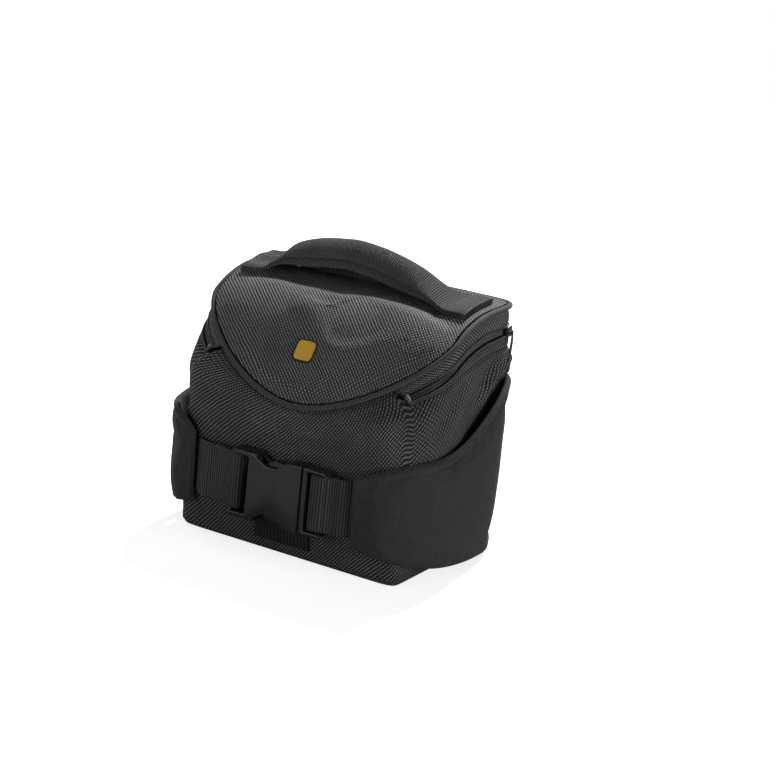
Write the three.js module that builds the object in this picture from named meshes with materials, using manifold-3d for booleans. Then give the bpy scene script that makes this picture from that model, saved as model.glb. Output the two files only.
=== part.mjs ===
// A soft handlebar bag for a bicycle, closed and standing on its flat base. Millimetres, with +Z up, the
// front towards -Y, and +X to the right of someone who faces the front.
// A hollow body carries a domed lid on a zipped gusset. Two padded belt wings leave the back, come round the
// sides and are joined across the front by two straps and a side-release buckle.
import * as THREE from "three";
import { LoftGeometry } from "three/addons/geometries/LoftGeometry.js";
import { mergeVertices } from "three/addons/utils/BufferGeometryUtils.js";
import Module from "manifold-3d";

const { lerp, smoothstep, clamp, degToRad } = THREE.MathUtils;

// Driving dimensions of the bag
const BASE_WIDTH = 170;
const BASE_DEPTH = 112;
const LID_WIDTH = 185;
const NOSE_LEAD = 6; // how far the lid's nose stands in front of the base's front edge
const BACK_HEIGHT = 172; // to the piping at the back
const NOSE_HEIGHT = 103; // to the piping at the nose
const WIDEST_INSET = 35.5; // from the base's front edge back to the widest line of each outline
const WALL = 3; // padded cloth
const CLEARANCE = 0.3; // between one piece and the next

// Lid, piping and zip
const LID_THICK = 3;
const LID_CROWN = 6;
const PIPING_R = 2;
const GUSSET_BACK = 27; // from the piping down to the body's fold, behind
const GUSSET_END = 12; // the same at the two front ends of the zip
const ZIP_END_TURN = 41.5; // degrees from the side towards the nose where the zip ends
const TAPE_THICK = 1.6;
const COIL_WIDTH = 5.5;
const COIL_THICK = 2.6;

// Webbing, handle, wings
const WEBBING_WIDTH = 38;
const WEBBING_THICK = 1.8;
const HANDLE_LENGTH = 172;
const HANDLE_Y = 21;
const HANDLE_RISE = 19.5; // clear height under the grip's middle
const HANDLE_THICK = 3.8; // folded webbing at the grip
const HANDLE_HANG = 8; // how far the grip's long edges hang below its middle
const WING_THICK = 4.5;
const WING_STAND = 7; // how far the wings belly away from the body's sides
const RIGHT_WING_REACH = 54; // where the right wing's front end lies, from the middle
const LEFT_WING_REACH = 69;

// Buckle, front loop, badge, bar mount, zip sliders
const BELT_Z = 47; // height of the belt's middle line
const BUCKLE_HEIGHT = 46;
const SOCKET_LENGTH = 53;
const SOCKET_START = -33;
const SOCKET_THICK = 11;
const SOCKET_WALL = 2.4; // in front of and behind the prongs
const SOCKET_BEVEL = 1.2;
const PLUG_LENGTH = 18.5;
const PLUG_BAR_SETBACK = 3.7; // of the plug's strap bar behind its front stem
const PLUG_BEVEL = 0.8;
const PLUG_CORNER = 2;
const PLUG_SETBACK = 1.6; // of the plug's front face behind the socket's
const TONGUE_WIDTH = 6;
const RAIL = 3.5;
const BAR_WIDTH = 4;
const BAR_THICK = 3;
const LOOP_WIDTH = 42;
const LOOP_BOTTOM = 8;
const LOOP_TOP = 62;
const BADGE_WIDTH = 17;
const BADGE_HEIGHT = 15;
const BADGE_THICK = 1.2;
const BADGE_X = -3;
const BADGE_SETBACK = 17; // from the lid's nose to the badge's middle
const BADGE_SLOPE = 52; // degrees that the lid slopes under it
const PLATE_WIDTH = 76;
const PLATE_HEIGHT = 60;
const PLATE_THICK = 3;
const PLATE_Z = 112;
const BOSS_WIDTH = 40;
const BOSS_HEIGHT = 34;
const BOSS_DEPTH = 11;
const SLIDER_LENGTH = 9;
const SLIDER_WIDTH = 7;
const SLIDER_THICK = 2.4;
const SLIDER_LIFT = 0.5; // the coil curves away under a straight slider
const PULL_LENGTH = 25;
const PULL_WIDTH = 4.5;
const PULL_THICK = 1.4;
const SLIDER_TURNS = [40.5, 51]; // degrees from the right side's widest line towards the back

// Positions that follow from those sizes
const FRONT_Y = -BASE_DEPTH / 2;
const BACK_Y = BASE_DEPTH / 2;
const WIDEST_Y = FRONT_Y + WIDEST_INSET;
const NOSE_Y = FRONT_Y - NOSE_LEAD;
const BADGE_Y = NOSE_Y + BADGE_SETBACK;
const BACK_SQUARE = 18; // exponent of the outline's back half, nearly a square corner
const RIM = { half: LID_WIDTH / 2, front: NOSE_Y, square: 1.8 };

// Side view of the piping line. depth: share of the way from the nose to the back. rise: share of the height
// from the nose to the back.
const SIDE_PROFILE = [
  { depth: 0, rise: 0 },
  { depth: 0.33, rise: 0.745 },
  { depth: 0.67, rise: 0.97 },
  { depth: 1, rise: 1 },
];

// Body sections. up: share of the height of the body's top edge. wide: share of the way from the base's half
// width to the lid's. lead: share of NOSE_LEAD that the front stands before the base's front edge.
// square: exponent of the outline's front half, high for square corners and 2 for an ellipse.
const BODY_ROWS = [
  { up: 0, wide: -0.2, lead: -0.3, square: 16 },
  { up: 0.025, wide: 0.05, lead: 0, square: 16 },
  { up: 0.25, wide: 0.35, lead: 0.7, square: 9 },
  { up: 0.5, wide: 0.7, lead: 0.95, square: 6 },
  { up: 0.75, wide: 1.05, lead: 1.15, square: 4.4 },
  { up: 0.9, wide: 1.35, lead: 1.2, square: 3.6 },
];
// The fold under the zip. It comes round to squareEnd at the zip's two front ends.
const SHOULDER = { wide: 1.45, lead: 1.1, square: 3.3, squareEnd: 2.6 };

// Belt wings, from the back panel round the side to the front. turn: degrees from the side's widest line, back
// positive. top and bottom: shares of BACK_HEIGHT. right and left: shares of WING_STAND for each wing. flare: share of
// WING_STAND by which the bottom edge stands out further than the top.
const WING_ROWS = [
  { turn: 52, top: 0.72, bottom: 0.03, right: 0.1, left: 0, flare: 0.6 },
  { turn: 45, top: 0.75, bottom: 0.016, right: 0.35, left: 0.15, flare: 1.3 },
  { turn: 38, top: 0.71, bottom: 0.014, right: 0.6, left: 0.5, flare: 1.15 },
  { turn: 20, top: 0.585, bottom: 0.022, right: 1, left: 0.9, flare: 0.85 },
  { turn: 0, top: 0.515, bottom: 0.038, right: 0.9, left: 1, flare: 0.45 },
  { turn: -20, top: 0.495, bottom: 0.058, right: 0.45, left: 1, flare: 0.3 },
  { turn: -36, top: 0.49, bottom: 0.08, right: 0.2, left: 0.9, flare: 0.15 },
  { turn: -45, top: 0.47, bottom: 0.098, right: 0.2, left: 0.75, flare: 0 },
];
// The last two rows. way: share of the way from the row above to the wing's front end. least: least stand.
const WING_FRONT = [
  { way: 0.5, top: 0.44, bottom: 0.112, least: 0.35 },
  { way: 1, top: 0.4, bottom: 0.122, least: 0 },
];
const WING_BELLY = { low: 0.75, high: 1.15 }; // share of the stand at the bottom and the top edge
const WING_LEVELS = [
  { up: 0, thick: 0.55 },
  { up: 0.1, thick: 1 },
  { up: 0.5, thick: 1 },
  { up: 0.9, thick: 1 },
  { up: 1, thick: 0.55 },
];

// Handle sections from its left end to its right. along: share of half the length. ahead: how far its middle lies
// towards the nose. lie: 1 where it lies on the lid, 0 where it is free. lift: share of HANDLE_RISE. wide: share of
// WEBBING_WIDTH. fold: 0 single, 1 folded.
const HANDLE_EDGE = 0.6; // how much thinner the folded grip is at its long edges
const HANDLE_ROWS = [
  { along: -1, ahead: 8, lie: 1, lift: 0, wide: 1, fold: 0 },
  { along: -0.9, ahead: 8, lie: 1, lift: 0, wide: 1, fold: 0 },
  { along: -0.82, ahead: 7.5, lie: 0.85, lift: 0.05, wide: 0.95, fold: 0.05 },
  { along: -0.76, ahead: 5, lie: 0.4, lift: 0.27, wide: 0.84, fold: 0.25 },
  { along: -0.68, ahead: 2, lie: 0.05, lift: 0.5, wide: 0.74, fold: 0.6 },
  { along: -0.56, ahead: 0.5, lie: 0, lift: 0.68, wide: 0.71, fold: 0.85 },
  { along: -0.42, ahead: 0, lie: 0, lift: 0.83, wide: 0.7, fold: 1 },
  { along: -0.25, ahead: 0, lie: 0, lift: 0.95, wide: 0.7, fold: 1 },
  { along: -0.1, ahead: 0, lie: 0, lift: 1, wide: 0.7, fold: 1 },
  { along: 0.12, ahead: 0, lie: 0, lift: 0.9, wide: 0.7, fold: 1 },
  { along: 0.33, ahead: 0, lie: 0, lift: 0.71, wide: 0.72, fold: 0.95 },
  { along: 0.51, ahead: 0, lie: 0.03, lift: 0.47, wide: 0.8, fold: 0.7 },
  { along: 0.66, ahead: 0.5, lie: 0.3, lift: 0.22, wide: 0.95, fold: 0.3 },
  { along: 0.78, ahead: 2.5, lie: 0.8, lift: 0.1, wide: 1, fold: 0.08 },
  { along: 0.88, ahead: 4, lie: 1, lift: 0, wide: 1, fold: 0 },
  { along: 1, ahead: 5, lie: 1, lift: 0, wide: 1, fold: 0 },
];

// Finishes
const finish = (color, roughness) => new THREE.MeshStandardMaterial({ color, roughness, metalness: 0 });
const WOVEN_CLOTH = finish(0x26272a, 0.85);
const SMOOTH_CLOTH = finish(0x1f2023, 0.9);
const WEBBING = finish(0x1c1d20, 0.7);
const PLASTIC = finish(0x18191b, 0.4);
const BADGE_FACE = finish(0xe0a21c, 0.6);

// The buckle's halves and the bracket are joined and cut as solids
const wasm = await Module();
wasm.setup();
const OVERRUN = 1; // how far a cut or a join runs past the face it goes through

function toManifold(geometry) {
  const bare = new THREE.BufferGeometry().setAttribute("position", geometry.getAttribute("position"));
  const merged = mergeVertices(geometry.index ? bare.setIndex(geometry.index) : bare, 1e-4);
  return new wasm.Manifold(
    new wasm.Mesh({
      numProp: 3,
      vertProperties: merged.attributes.position.array,
      triVerts: new Uint32Array(merged.index.array),
    }),
  );
}

function fromManifold(solid) {
  const { vertProperties, triVerts } = solid.getMesh();
  return new THREE.BufferGeometry()
    .setAttribute("position", new THREE.BufferAttribute(vertProperties, 3))
    .setIndex(new THREE.BufferAttribute(triVerts, 1));
}

// Six times the volume that a geometry encloses, negative where its faces point inwards
function signedVolume(geometry) {
  const flat = geometry.getAttribute("position");
  const [a, b, c] = [new THREE.Vector3(), new THREE.Vector3(), new THREE.Vector3()];
  let sum = 0;
  for (let i = 0; i < flat.count; i += 3) {
    a.fromBufferAttribute(flat, i);
    b.fromBufferAttribute(flat, i + 1);
    c.fromBufferAttribute(flat, i + 2);
    sum += a.dot(b.cross(c));
  }
  return sum;
}

// Triangles that close one ring: a ladder of rungs between its two sides
function ringCap(ring, flip) {
  const last = ring.length - 1;
  const corners = [];
  for (let i = 0; i < last - i - 1; i++) {
    corners.push([ring[i], ring[i + 1], ring[last - i]]);
    if (i + 1 < last - i - 1) corners.push([ring[i + 1], ring[last - i - 1], ring[last - i]]);
  }
  return corners.flatMap((triangle) => (flip ? [...triangle].reverse() : triangle));
}

// A closed skin through ring sections, capped at both ends, or joined end to end where it is a loop
function skin(sections, loop = false) {
  const rings = loop ? [...sections, sections[0]] : sections;
  const make = (rows) => {
    const side = new LoftGeometry(rows).toNonIndexed().getAttribute("position").array;
    const caps = loop ? [] : [...ringCap(rows[0], true), ...ringCap(rows[rows.length - 1], false)];
    const points = [...side, ...caps.flatMap((point) => point.toArray())];
    return new THREE.BufferGeometry().setAttribute("position", new THREE.Float32BufferAttribute(points, 3));
  };
  const first = make(rings);
  return signedVolume(first) > 0 ? first : make(rings.map((ring) => [...ring].reverse()));
}

// A flat outline in X and Z, given thickness from y = front to y = back, with its edges bevelled
function plate(points, front, back, bevel = 0, holes = []) {
  const shape = new THREE.Shape(points.map(([x, z]) => new THREE.Vector2(x, z)));
  holes.forEach((hole) => shape.holes.push(new THREE.Path(hole.map(([x, z]) => new THREE.Vector2(x, z)))));
  const geometry = new THREE.ExtrudeGeometry(shape, {
    depth: back - front - 2 * bevel,
    bevelEnabled: bevel > 0,
    bevelThickness: bevel,
    bevelSize: bevel,
    bevelOffset: -bevel,
    bevelSegments: 1,
  });
  return geometry.rotateX(Math.PI / 2).translate(0, back - bevel, 0);
}

const rectangle = (x0, x1, z0, z1) => [
  [x0, z0],
  [x1, z0],
  [x1, z1],
  [x0, z1],
];

// Small steps over which slopes are measured: radians of turn, and length
const TURN_STEP = 0.01;
const SLOPE_STEP = 0.2;

// Plan outline of a section at one turn, in radians from +X through the back
function planPoint(row, turn, inset = 0) {
  const [c, s] = [Math.cos(turn), Math.sin(turn)];
  const power = s < 0 ? row.square : BACK_SQUARE;
  const reach = (s < 0 ? WIDEST_Y - row.front : BACK_Y - WIDEST_Y) - inset;
  const k = (Math.abs(c) ** power + Math.abs(s) ** power) ** (-1 / power);
  return { x: (row.half - inset) * c * k, y: WIDEST_Y + reach * s * k };
}

// Height of the piping line over a given depth: the cubic through the side profile's rows
function rimHeight(y) {
  const depth = (y - NOSE_Y) / (BACK_Y - NOSE_Y);
  const weight = (row) =>
    SIDE_PROFILE.filter((other) => other !== row).reduce(
      (product, other) => (product * (depth - other.depth)) / (row.depth - other.depth),
      1,
    );
  const rise = SIDE_PROFILE.reduce((sum, row) => sum + row.rise * weight(row), 0);
  return lerp(NOSE_HEIGHT, BACK_HEIGHT, rise);
}

const rimHeightAt = (turn) => rimHeight(planPoint(RIM, turn).y);

// Degrees from the side towards the nose, negative towards the back
const noseTurn = (turn) => -THREE.MathUtils.radToDeg(Math.asin(Math.sin(turn)));

// 0 where the body ends in the fold under the zip, 1 where its front panel runs up to the piping
const END_STEP = 2.75;
const noseShare = (turn) => smoothstep(noseTurn(turn), ZIP_END_TURN - END_STEP, ZIP_END_TURN + END_STEP);
const endward = (turn) => smoothstep(noseTurn(turn), -20, ZIP_END_TURN);

function gussetHeight(turn) {
  return lerp(lerp(GUSSET_BACK, GUSSET_END, endward(turn)), PIPING_R + CLEARANCE, noseShare(turn));
}

const topEdgeHeight = (turn) => rimHeightAt(turn) - gussetHeight(turn);

const sized = ({ wide, lead, square }) => ({
  half: lerp(BASE_WIDTH, LID_WIDTH, wide) / 2,
  front: FRONT_Y - lead * NOSE_LEAD,
  square,
});

const shoulder = (turn) => {
  const square = lerp(SHOULDER.square, SHOULDER.squareEnd, endward(turn));
  return { ...sized(SHOULDER), square };
};

const blendRows = (a, b, t) => ({
  half: lerp(a.half, b.half, t),
  front: lerp(a.front, b.front, t),
  square: lerp(a.square, b.square, t),
});

// The body's outline at a share of its height, for one turn
function bodyRow(up, turn) {
  const top = blendRows(shoulder(turn), RIM, noseShare(turn));
  const rows = [...BODY_ROWS.map((row) => ({ up: row.up, ...sized(row) })), { up: 1, ...top }];
  const next = Math.max(1, rows.findIndex((row) => row.up >= up));
  const [a, b] = [rows[next - 1], rows[next]];
  return blendRows(a, b, clamp((up - a.up) / (b.up - a.up), 0, 1));
}

function bodyPoint(turn, z, inset = 0) {
  const { x, y } = planPoint(bodyRow(z / topEdgeHeight(turn), turn), turn, inset);
  return new THREE.Vector3(x, y, z);
}

// Outward direction of the body's skin in plan
function outward(turn, z) {
  const along = bodyPoint(turn + TURN_STEP, z).sub(bodyPoint(turn - TURN_STEP, z));
  return new THREE.Vector3(along.y, -along.x, 0).normalize();
}

// Turn at which the front of the body reaches x, by halving
function frontTurn(x, z) {
  let [low, high] = x > 0 ? [-90, -45] : [-90, -135];
  const halvings = 30;
  for (let i = 0; i < halvings; i++) {
    const middle = (low + high) / 2;
    if (Math.abs(bodyPoint(degToRad(middle), z).x) < Math.abs(x)) low = middle;
    else high = middle;
  }
  return (low + high) / 2;
}

const frontFace = (x, z) => bodyPoint(degToRad(frontTurn(x, z)), z).y;
const beltFace = (x) => Math.min(...[-1, 0, 1].map((side) => frontFace(x, BELT_Z + (side * WEBBING_WIDTH) / 2)));

// Turns at which every ring of the body, lid and piping has a point, from one front corner round to the other.
// Each zip end has three of its own, where the ramp from the fold to the piping starts, is half way and ends.
// Each back corner has three more.
const RING_STEP = 6;
const RING_START = -132;
const BACK_CORNER = [43, 45, 47];
const EVEN_TURNS = Array.from({ length: 360 / RING_STEP }, (_, i) => i * RING_STEP + RING_START);
const nearEnd = (degrees) => Math.abs(noseTurn(degToRad(degrees)) - ZIP_END_TURN) < END_STEP + 1;
const END_TURNS = [-END_STEP, 0, END_STEP].flatMap((step) => [step - ZIP_END_TURN, 180 + ZIP_END_TURN + step]);
const CORNER_TURNS = BACK_CORNER.flatMap((turn) => [turn, 180 - turn]);
const TURNS = [...EVEN_TURNS.filter((degrees) => !nearEnd(degrees)), ...END_TURNS, ...CORNER_TURNS]
  .sort((a, b) => a - b)
  .map(degToRad);
const ZIP_RUN = TURNS.filter((turn) => noseShare(turn) < 0.01);

// The hollow body, open at the top
function bodyShell() {
  const ups = [...BODY_ROWS.map((row) => row.up), 1];
  const ring = (up, inset) =>
    TURNS.map((turn) => {
      const z = inset > 0 ? lerp(WALL, topEdgeHeight(turn), up) : up * topEdgeHeight(turn);
      return bodyPoint(turn, z, inset);
    });
  const outside = ups.map((up) => ring(up, 0));
  const inside = ups.filter((up) => up !== BODY_ROWS[1].up).reverse();
  return skin([...outside, ...inside.map((up) => ring(up, WALL))]);
}

// Share of the way from the lid's centre to its edge
function lidGauge(x, y) {
  const front = y < WIDEST_Y;
  const power = front ? RIM.square : BACK_SQUARE;
  const reach = front ? WIDEST_Y - NOSE_Y : BACK_Y - WIDEST_Y;
  return (Math.abs(x / RIM.half) ** power + Math.abs((y - WIDEST_Y) / reach) ** power) ** (1 / power);
}

const lidHeight = (x, y) => rimHeight(y) + LID_CROWN * (1 - Math.min(1, lidGauge(x, y)) ** 2);

function lidPoint(x, y, offset = 0) {
  const slopeX = (lidHeight(x + SLOPE_STEP, y) - lidHeight(x - SLOPE_STEP, y)) / (2 * SLOPE_STEP);
  const slopeY = (lidHeight(x, y + SLOPE_STEP) - lidHeight(x, y - SLOPE_STEP)) / (2 * SLOPE_STEP);
  const normal = new THREE.Vector3(-slopeX, -slopeY, 1).normalize();
  return new THREE.Vector3(x, y, lidHeight(x, y)).addScaledVector(normal, offset);
}

// The domed lid: rings that shrink towards its middle, over its top and back under it
function lid() {
  const shares = [0.22, 0.45, 0.66, 0.84, 1];
  const seam = PIPING_R + 3 * CLEARANCE;
  const beside = 0.96; // share at which the slope next to the edge is measured
  const ring = (share, offset) =>
    TURNS.map((turn) => {
      const { x, y } = planPoint(RIM, turn);
      const rim = new THREE.Vector3(x, y, rimHeight(y));
      const near = lidPoint(beside * x, lerp(WIDEST_Y, y, beside));
      const seat = 1 - ((1 - beside) * seam) / rim.distanceTo(near);
      return lidPoint(share * seat * x, lerp(WIDEST_Y, y, share * seat), offset);
    });
  const under = shares.map((share) => ring(share, -LID_THICK / 2));
  const over = [...shares].reverse().map((share) => ring(share, LID_THICK / 2));
  return skin([...under, ...over]);
}

function lidPiping() {
  const sides = 8;
  const sections = TURNS.map((turn) => {
    const { x, y } = planPoint(RIM, turn);
    const ahead = planPoint(RIM, turn + TURN_STEP);
    const behind = planPoint(RIM, turn - TURN_STEP);
    const out = new THREE.Vector3(ahead.y - behind.y, behind.x - ahead.x, 0).normalize();
    return Array.from({ length: sides }, (_, i) => {
      const a = ((i + 0.5) / sides) * 2 * Math.PI;
      const z = rimHeight(y) + PIPING_R * Math.sin(a);
      return new THREE.Vector3(x, y, z).addScaledVector(out, PIPING_R * Math.cos(a));
    });
  });
  return skin(sections, true);
}

// The gusset between the piping and the body's fold. share 0 is its top edge, 1 its bottom edge.
function gussetPoint(turn, share) {
  const top = planPoint(RIM, turn, PIPING_R / 2);
  const bottom = planPoint(shoulder(turn), turn, WALL / 2);
  const highest = rimHeightAt(turn) - PIPING_R - 2 * CLEARANCE;
  const lowest = topEdgeHeight(turn) + 2 * CLEARANCE;
  return new THREE.Vector3(
    lerp(top.x, bottom.x, share),
    lerp(top.y, bottom.y, share),
    lerp(highest, lowest, share),
  );
}

function gussetOut(turn) {
  const across = gussetPoint(turn, 1).sub(gussetPoint(turn, 0));
  const along = gussetPoint(turn + TURN_STEP, 0.5).sub(gussetPoint(turn - TURN_STEP, 0.5));
  return new THREE.Vector3().crossVectors(across, along).setZ(0).normalize();
}

// A band along the gusset from one share to another, each given for a turn
function gussetBand(fromShare, toShare, thick) {
  return skin(
    ZIP_RUN.map((turn) => {
      const out = gussetOut(turn);
      const [a, b] = [gussetPoint(turn, fromShare(turn)), gussetPoint(turn, toShare(turn))];
      return [
        a.clone().addScaledVector(out, thick / 2),
        b.clone().addScaledVector(out, thick / 2),
        b.clone().addScaledVector(out, -thick / 2),
        a.clone().addScaledVector(out, -thick / 2),
      ];
    }),
  );
}

const gussetSpan = (turn) => gussetPoint(turn, 0).distanceTo(gussetPoint(turn, 1));
const COIL_FROM = 0.44; // share of the gusset above the coil
const coilTo = (turn) => COIL_FROM + COIL_WIDTH / gussetSpan(turn);
const seam = (turn) => (2 * CLEARANCE) / gussetSpan(turn);

// A padded belt wing. side is 1 on the right and -1 on the left.
function wing(side, reach) {
  const column = side > 0 ? "right" : "left";
  const tuck = (WEBBING_THICK + 2 * CLEARANCE) / WING_STAND; // room for the strap's end behind the front end
  const corner = WING_ROWS[WING_ROWS.length - 1].turn;
  const last = frontTurn(reach, BELT_Z);
  const rows = [
    ...WING_ROWS.map((row) => ({ ...row, stand: row[column] })),
    ...WING_FRONT.map(({ way, top, bottom, least }) => ({
      turn: lerp(corner, last, way),
      top,
      bottom,
      stand: Math.max(tuck, least),
      flare: 0,
    })),
  ];
  const curve = (key) => new THREE.SplineCurve(rows.map((row, i) => new THREE.Vector2(i, row[key])));
  const curves = { turn: curve("turn"), top: curve("top"), bottom: curve("bottom"), stand: curve("stand"), flare: curve("flare") };
  const steps = 3 * (rows.length - 1);
  const sections = Array.from({ length: steps + 1 }, (_, i) => {
    const at = (key) => curves[key].getPoint(i / steps).y;
    const endShare = clamp((at("turn") - corner) / (last - corner), 0, 1);
    const [low, high] = [at("bottom") * BACK_HEIGHT, at("top") * BACK_HEIGHT];
    const place = ({ up, thick }, face) => {
      const z = lerp(low, high, up);
      const lean = endShare * (frontTurn(reach, z) - last);
      const turn = side > 0 ? degToRad(at("turn") + lean) : degToRad(180 - at("turn") - lean);
      const share = Math.max(0, at("stand")) * lerp(WING_BELLY.low, WING_BELLY.high, up);
      const belly = (share + Math.max(0, at("flare")) * (1 - up)) * WING_STAND;
      const depth = face * WING_THICK * (0.5 + thick / 2) + (1 - face) * WING_THICK * (0.5 - thick / 2);
      return bodyPoint(turn, z).addScaledVector(outward(turn, z), CLEARANCE + belly + depth);
    };
    return [
      ...WING_LEVELS.map((level) => place(level, 1)),
      ...[...WING_LEVELS].reverse().map((level) => place(level, 0)),
    ];
  });
  return skin(sections);
}

// A strip of webbing on edge along a path in plan, its middle at the belt's height
function beltStrap(path) {
  const curve = new THREE.CatmullRomCurve3(
    path.map(([x, y]) => new THREE.Vector3(x, y, 0)),
    false,
    "centripetal",
  );
  const steps = 3 * (path.length - 1);
  return skin(
    Array.from({ length: steps + 1 }, (_, i) => {
      const t = i / steps;
      const middle = curve.getPoint(t);
      const along = curve.getTangent(t);
      const out = new THREE.Vector3(along.y, -along.x, 0).multiplyScalar(WEBBING_THICK / 2);
      const level = (z) => BELT_Z + (z * WEBBING_WIDTH) / 2;
      const corner = (face, z) => middle.clone().addScaledVector(out, face).setZ(level(z));
      return [corner(1, -1), corner(1, 1), corner(-1, 1), corner(-1, -1)];
    }),
  );
}

// Planes that the belt's front run is stacked on, from the body outwards
const LOOP_GAP = 1.5 * CLEARANCE;
const LOOP_FACE = frontFace(0, LOOP_TOP) - LOOP_GAP - WEBBING_THICK;
const BELT_BACK = LOOP_FACE - CLEARANCE;
const BELT_MIDDLE = BELT_BACK - WEBBING_THICK / 2;
const BAR_Y = BELT_BACK - WEBBING_THICK - 3 * CLEARANCE - BAR_THICK / 2;
const SOCKET_BACK = BELT_BACK;
const SOCKET_FRONT = SOCKET_BACK - SOCKET_THICK;
const SOCKET_END = SOCKET_START + SOCKET_LENGTH;
const PLUG_START = SOCKET_END + CLEARANCE;
const PLUG_END = PLUG_START + PLUG_LENGTH;
const LEFT_BAR_X = SOCKET_START + BAR_WIDTH / 2;
const RIGHT_BAR_X = PLUG_START + RAIL + PLUG_BAR_SETBACK + BAR_WIDTH / 2;

// One strap: from the wing's front end, over the front of the bar, round it and back behind itself
function strap(side, barX, reach) {
  const round = 2 * CLEARANCE + WEBBING_THICK / 2;
  const diagonal = Math.SQRT1_2 * round;
  const [barFront, barBack] = [BAR_Y - BAR_THICK / 2, BAR_Y + BAR_THICK / 2];
  const layer = BELT_MIDDLE - WEBBING_THICK - CLEARANCE;
  const start = reach - 3 * CLEARANCE;
  const half = BAR_WIDTH / 2;
  const at = (offset) => barX + side * offset;
  const toWing = (share) => lerp(barX, side * start, share);
  return beltStrap([
    [side * start, beltFace(start) - CLEARANCE - WEBBING_THICK / 2],
    [toWing(0.75), layer],
    [toWing(0.5), layer - CLEARANCE],
    [at(half + 1.4 * WEBBING_THICK), barFront - round + WEBBING_THICK / 2],
    [at(half), barFront - round],
    [at(-half), barFront - round],
    [at(-half - diagonal), barFront - diagonal],
    [at(-half - round), barFront],
    [at(-half - round), barBack],
    [at(-half - diagonal), BELT_MIDDLE - round + diagonal],
    [at(-half), BELT_MIDDLE],
    [toWing(0.3), BELT_MIDDLE],
    [toWing(0.55), BELT_MIDDLE],
  ]);
}

// Buckle outlines. along: share of the socket's length from the strap's end. tall: share of half its height.
const SOCKET_OUTLINE = [
  { along: 0, tall: 0.92 },
  { along: 0.04, tall: 1 },
  { along: 0.28, tall: 1 },
  { along: 0.5, tall: 0.72 },
  { along: 0.66, tall: 0.72 },
  { along: 0.8, tall: 0.98 },
  { along: 1, tall: 1 },
];

// Shares of the socket's length where its slot for the strap ends, its hollow starts and its side windows lie,
// and the share of its half height that is hollow
const SOCKET_CUTS = { slotEnd: 0.24, hollow: 0.3, windowStart: 0.38, windowEnd: 0.8, tall: 0.68 };

function buckleSocket() {
  const half = BUCKLE_HEIGHT / 2;
  const along = (share) => SOCKET_START + share * SOCKET_LENGTH;
  const edge = (side) => SOCKET_OUTLINE.map((row) => [along(row.along), BELT_Z + side * row.tall * half]);
  const [low, high] = [BELT_Z - half, BELT_Z + half];
  const strapEdge = SOCKET_START + BAR_WIDTH;
  const slot = rectangle(strapEdge, along(SOCKET_CUTS.slotEnd), low + RAIL, high - RAIL);
  const overBar = rectangle(SOCKET_START - OVERRUN, strapEdge, low + RAIL, high - RAIL);
  const tall = SOCKET_CUTS.tall * half;
  const hollow = rectangle(along(SOCKET_CUTS.hollow), SOCKET_END + OVERRUN, BELT_Z - tall, BELT_Z + tall);
  const windowX = [along(SOCKET_CUTS.windowStart), along(SOCKET_CUTS.windowEnd)];
  const windows = rectangle(...windowX, low - OVERRUN, high + OVERRUN);
  const inside = [SOCKET_FRONT + SOCKET_WALL, SOCKET_BACK - SOCKET_WALL];
  const cuts = [
    plate(slot, SOCKET_FRONT - OVERRUN, SOCKET_BACK + OVERRUN),
    plate(overBar, SOCKET_FRONT - OVERRUN, BAR_Y - BAR_THICK / 2),
    plate(overBar, BAR_Y + BAR_THICK / 2, SOCKET_BACK + OVERRUN),
    plate(hollow, ...inside),
    plate(windows, ...inside),
  ];
  const block = plate([...edge(-1), ...edge(1).reverse()], SOCKET_FRONT, SOCKET_BACK, SOCKET_BEVEL);
  return fromManifold(cuts.reduce((solid, cut) => solid.subtract(toManifold(cut)), toManifold(block)));
}

// One prong of the plug, as shares of the prong's length and of the half height
const PRONG = [
  { along: 0, tall: 0.44 },
  { along: 0.55, tall: 0.42 },
  { along: 1, tall: 0.46 },
  { along: 0.97, tall: 0.7 },
  { along: 0.72, tall: 0.9 },
  { along: 0.45, tall: 0.86 },
  { along: 0.36, tall: 0.64 },
  { along: 0, tall: 0.64 },
];

// Shares of the socket's length that the prongs and the tongue between them reach into it, and shares of half
// the buckle's height for the plug's frame at its mouth and at its bar
const PLUG_REACH = { prong: 0.62, tongue: 0.4 };
const PLUG_TALL = { mouth: 0.98, bar: 0.96 };

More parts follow.
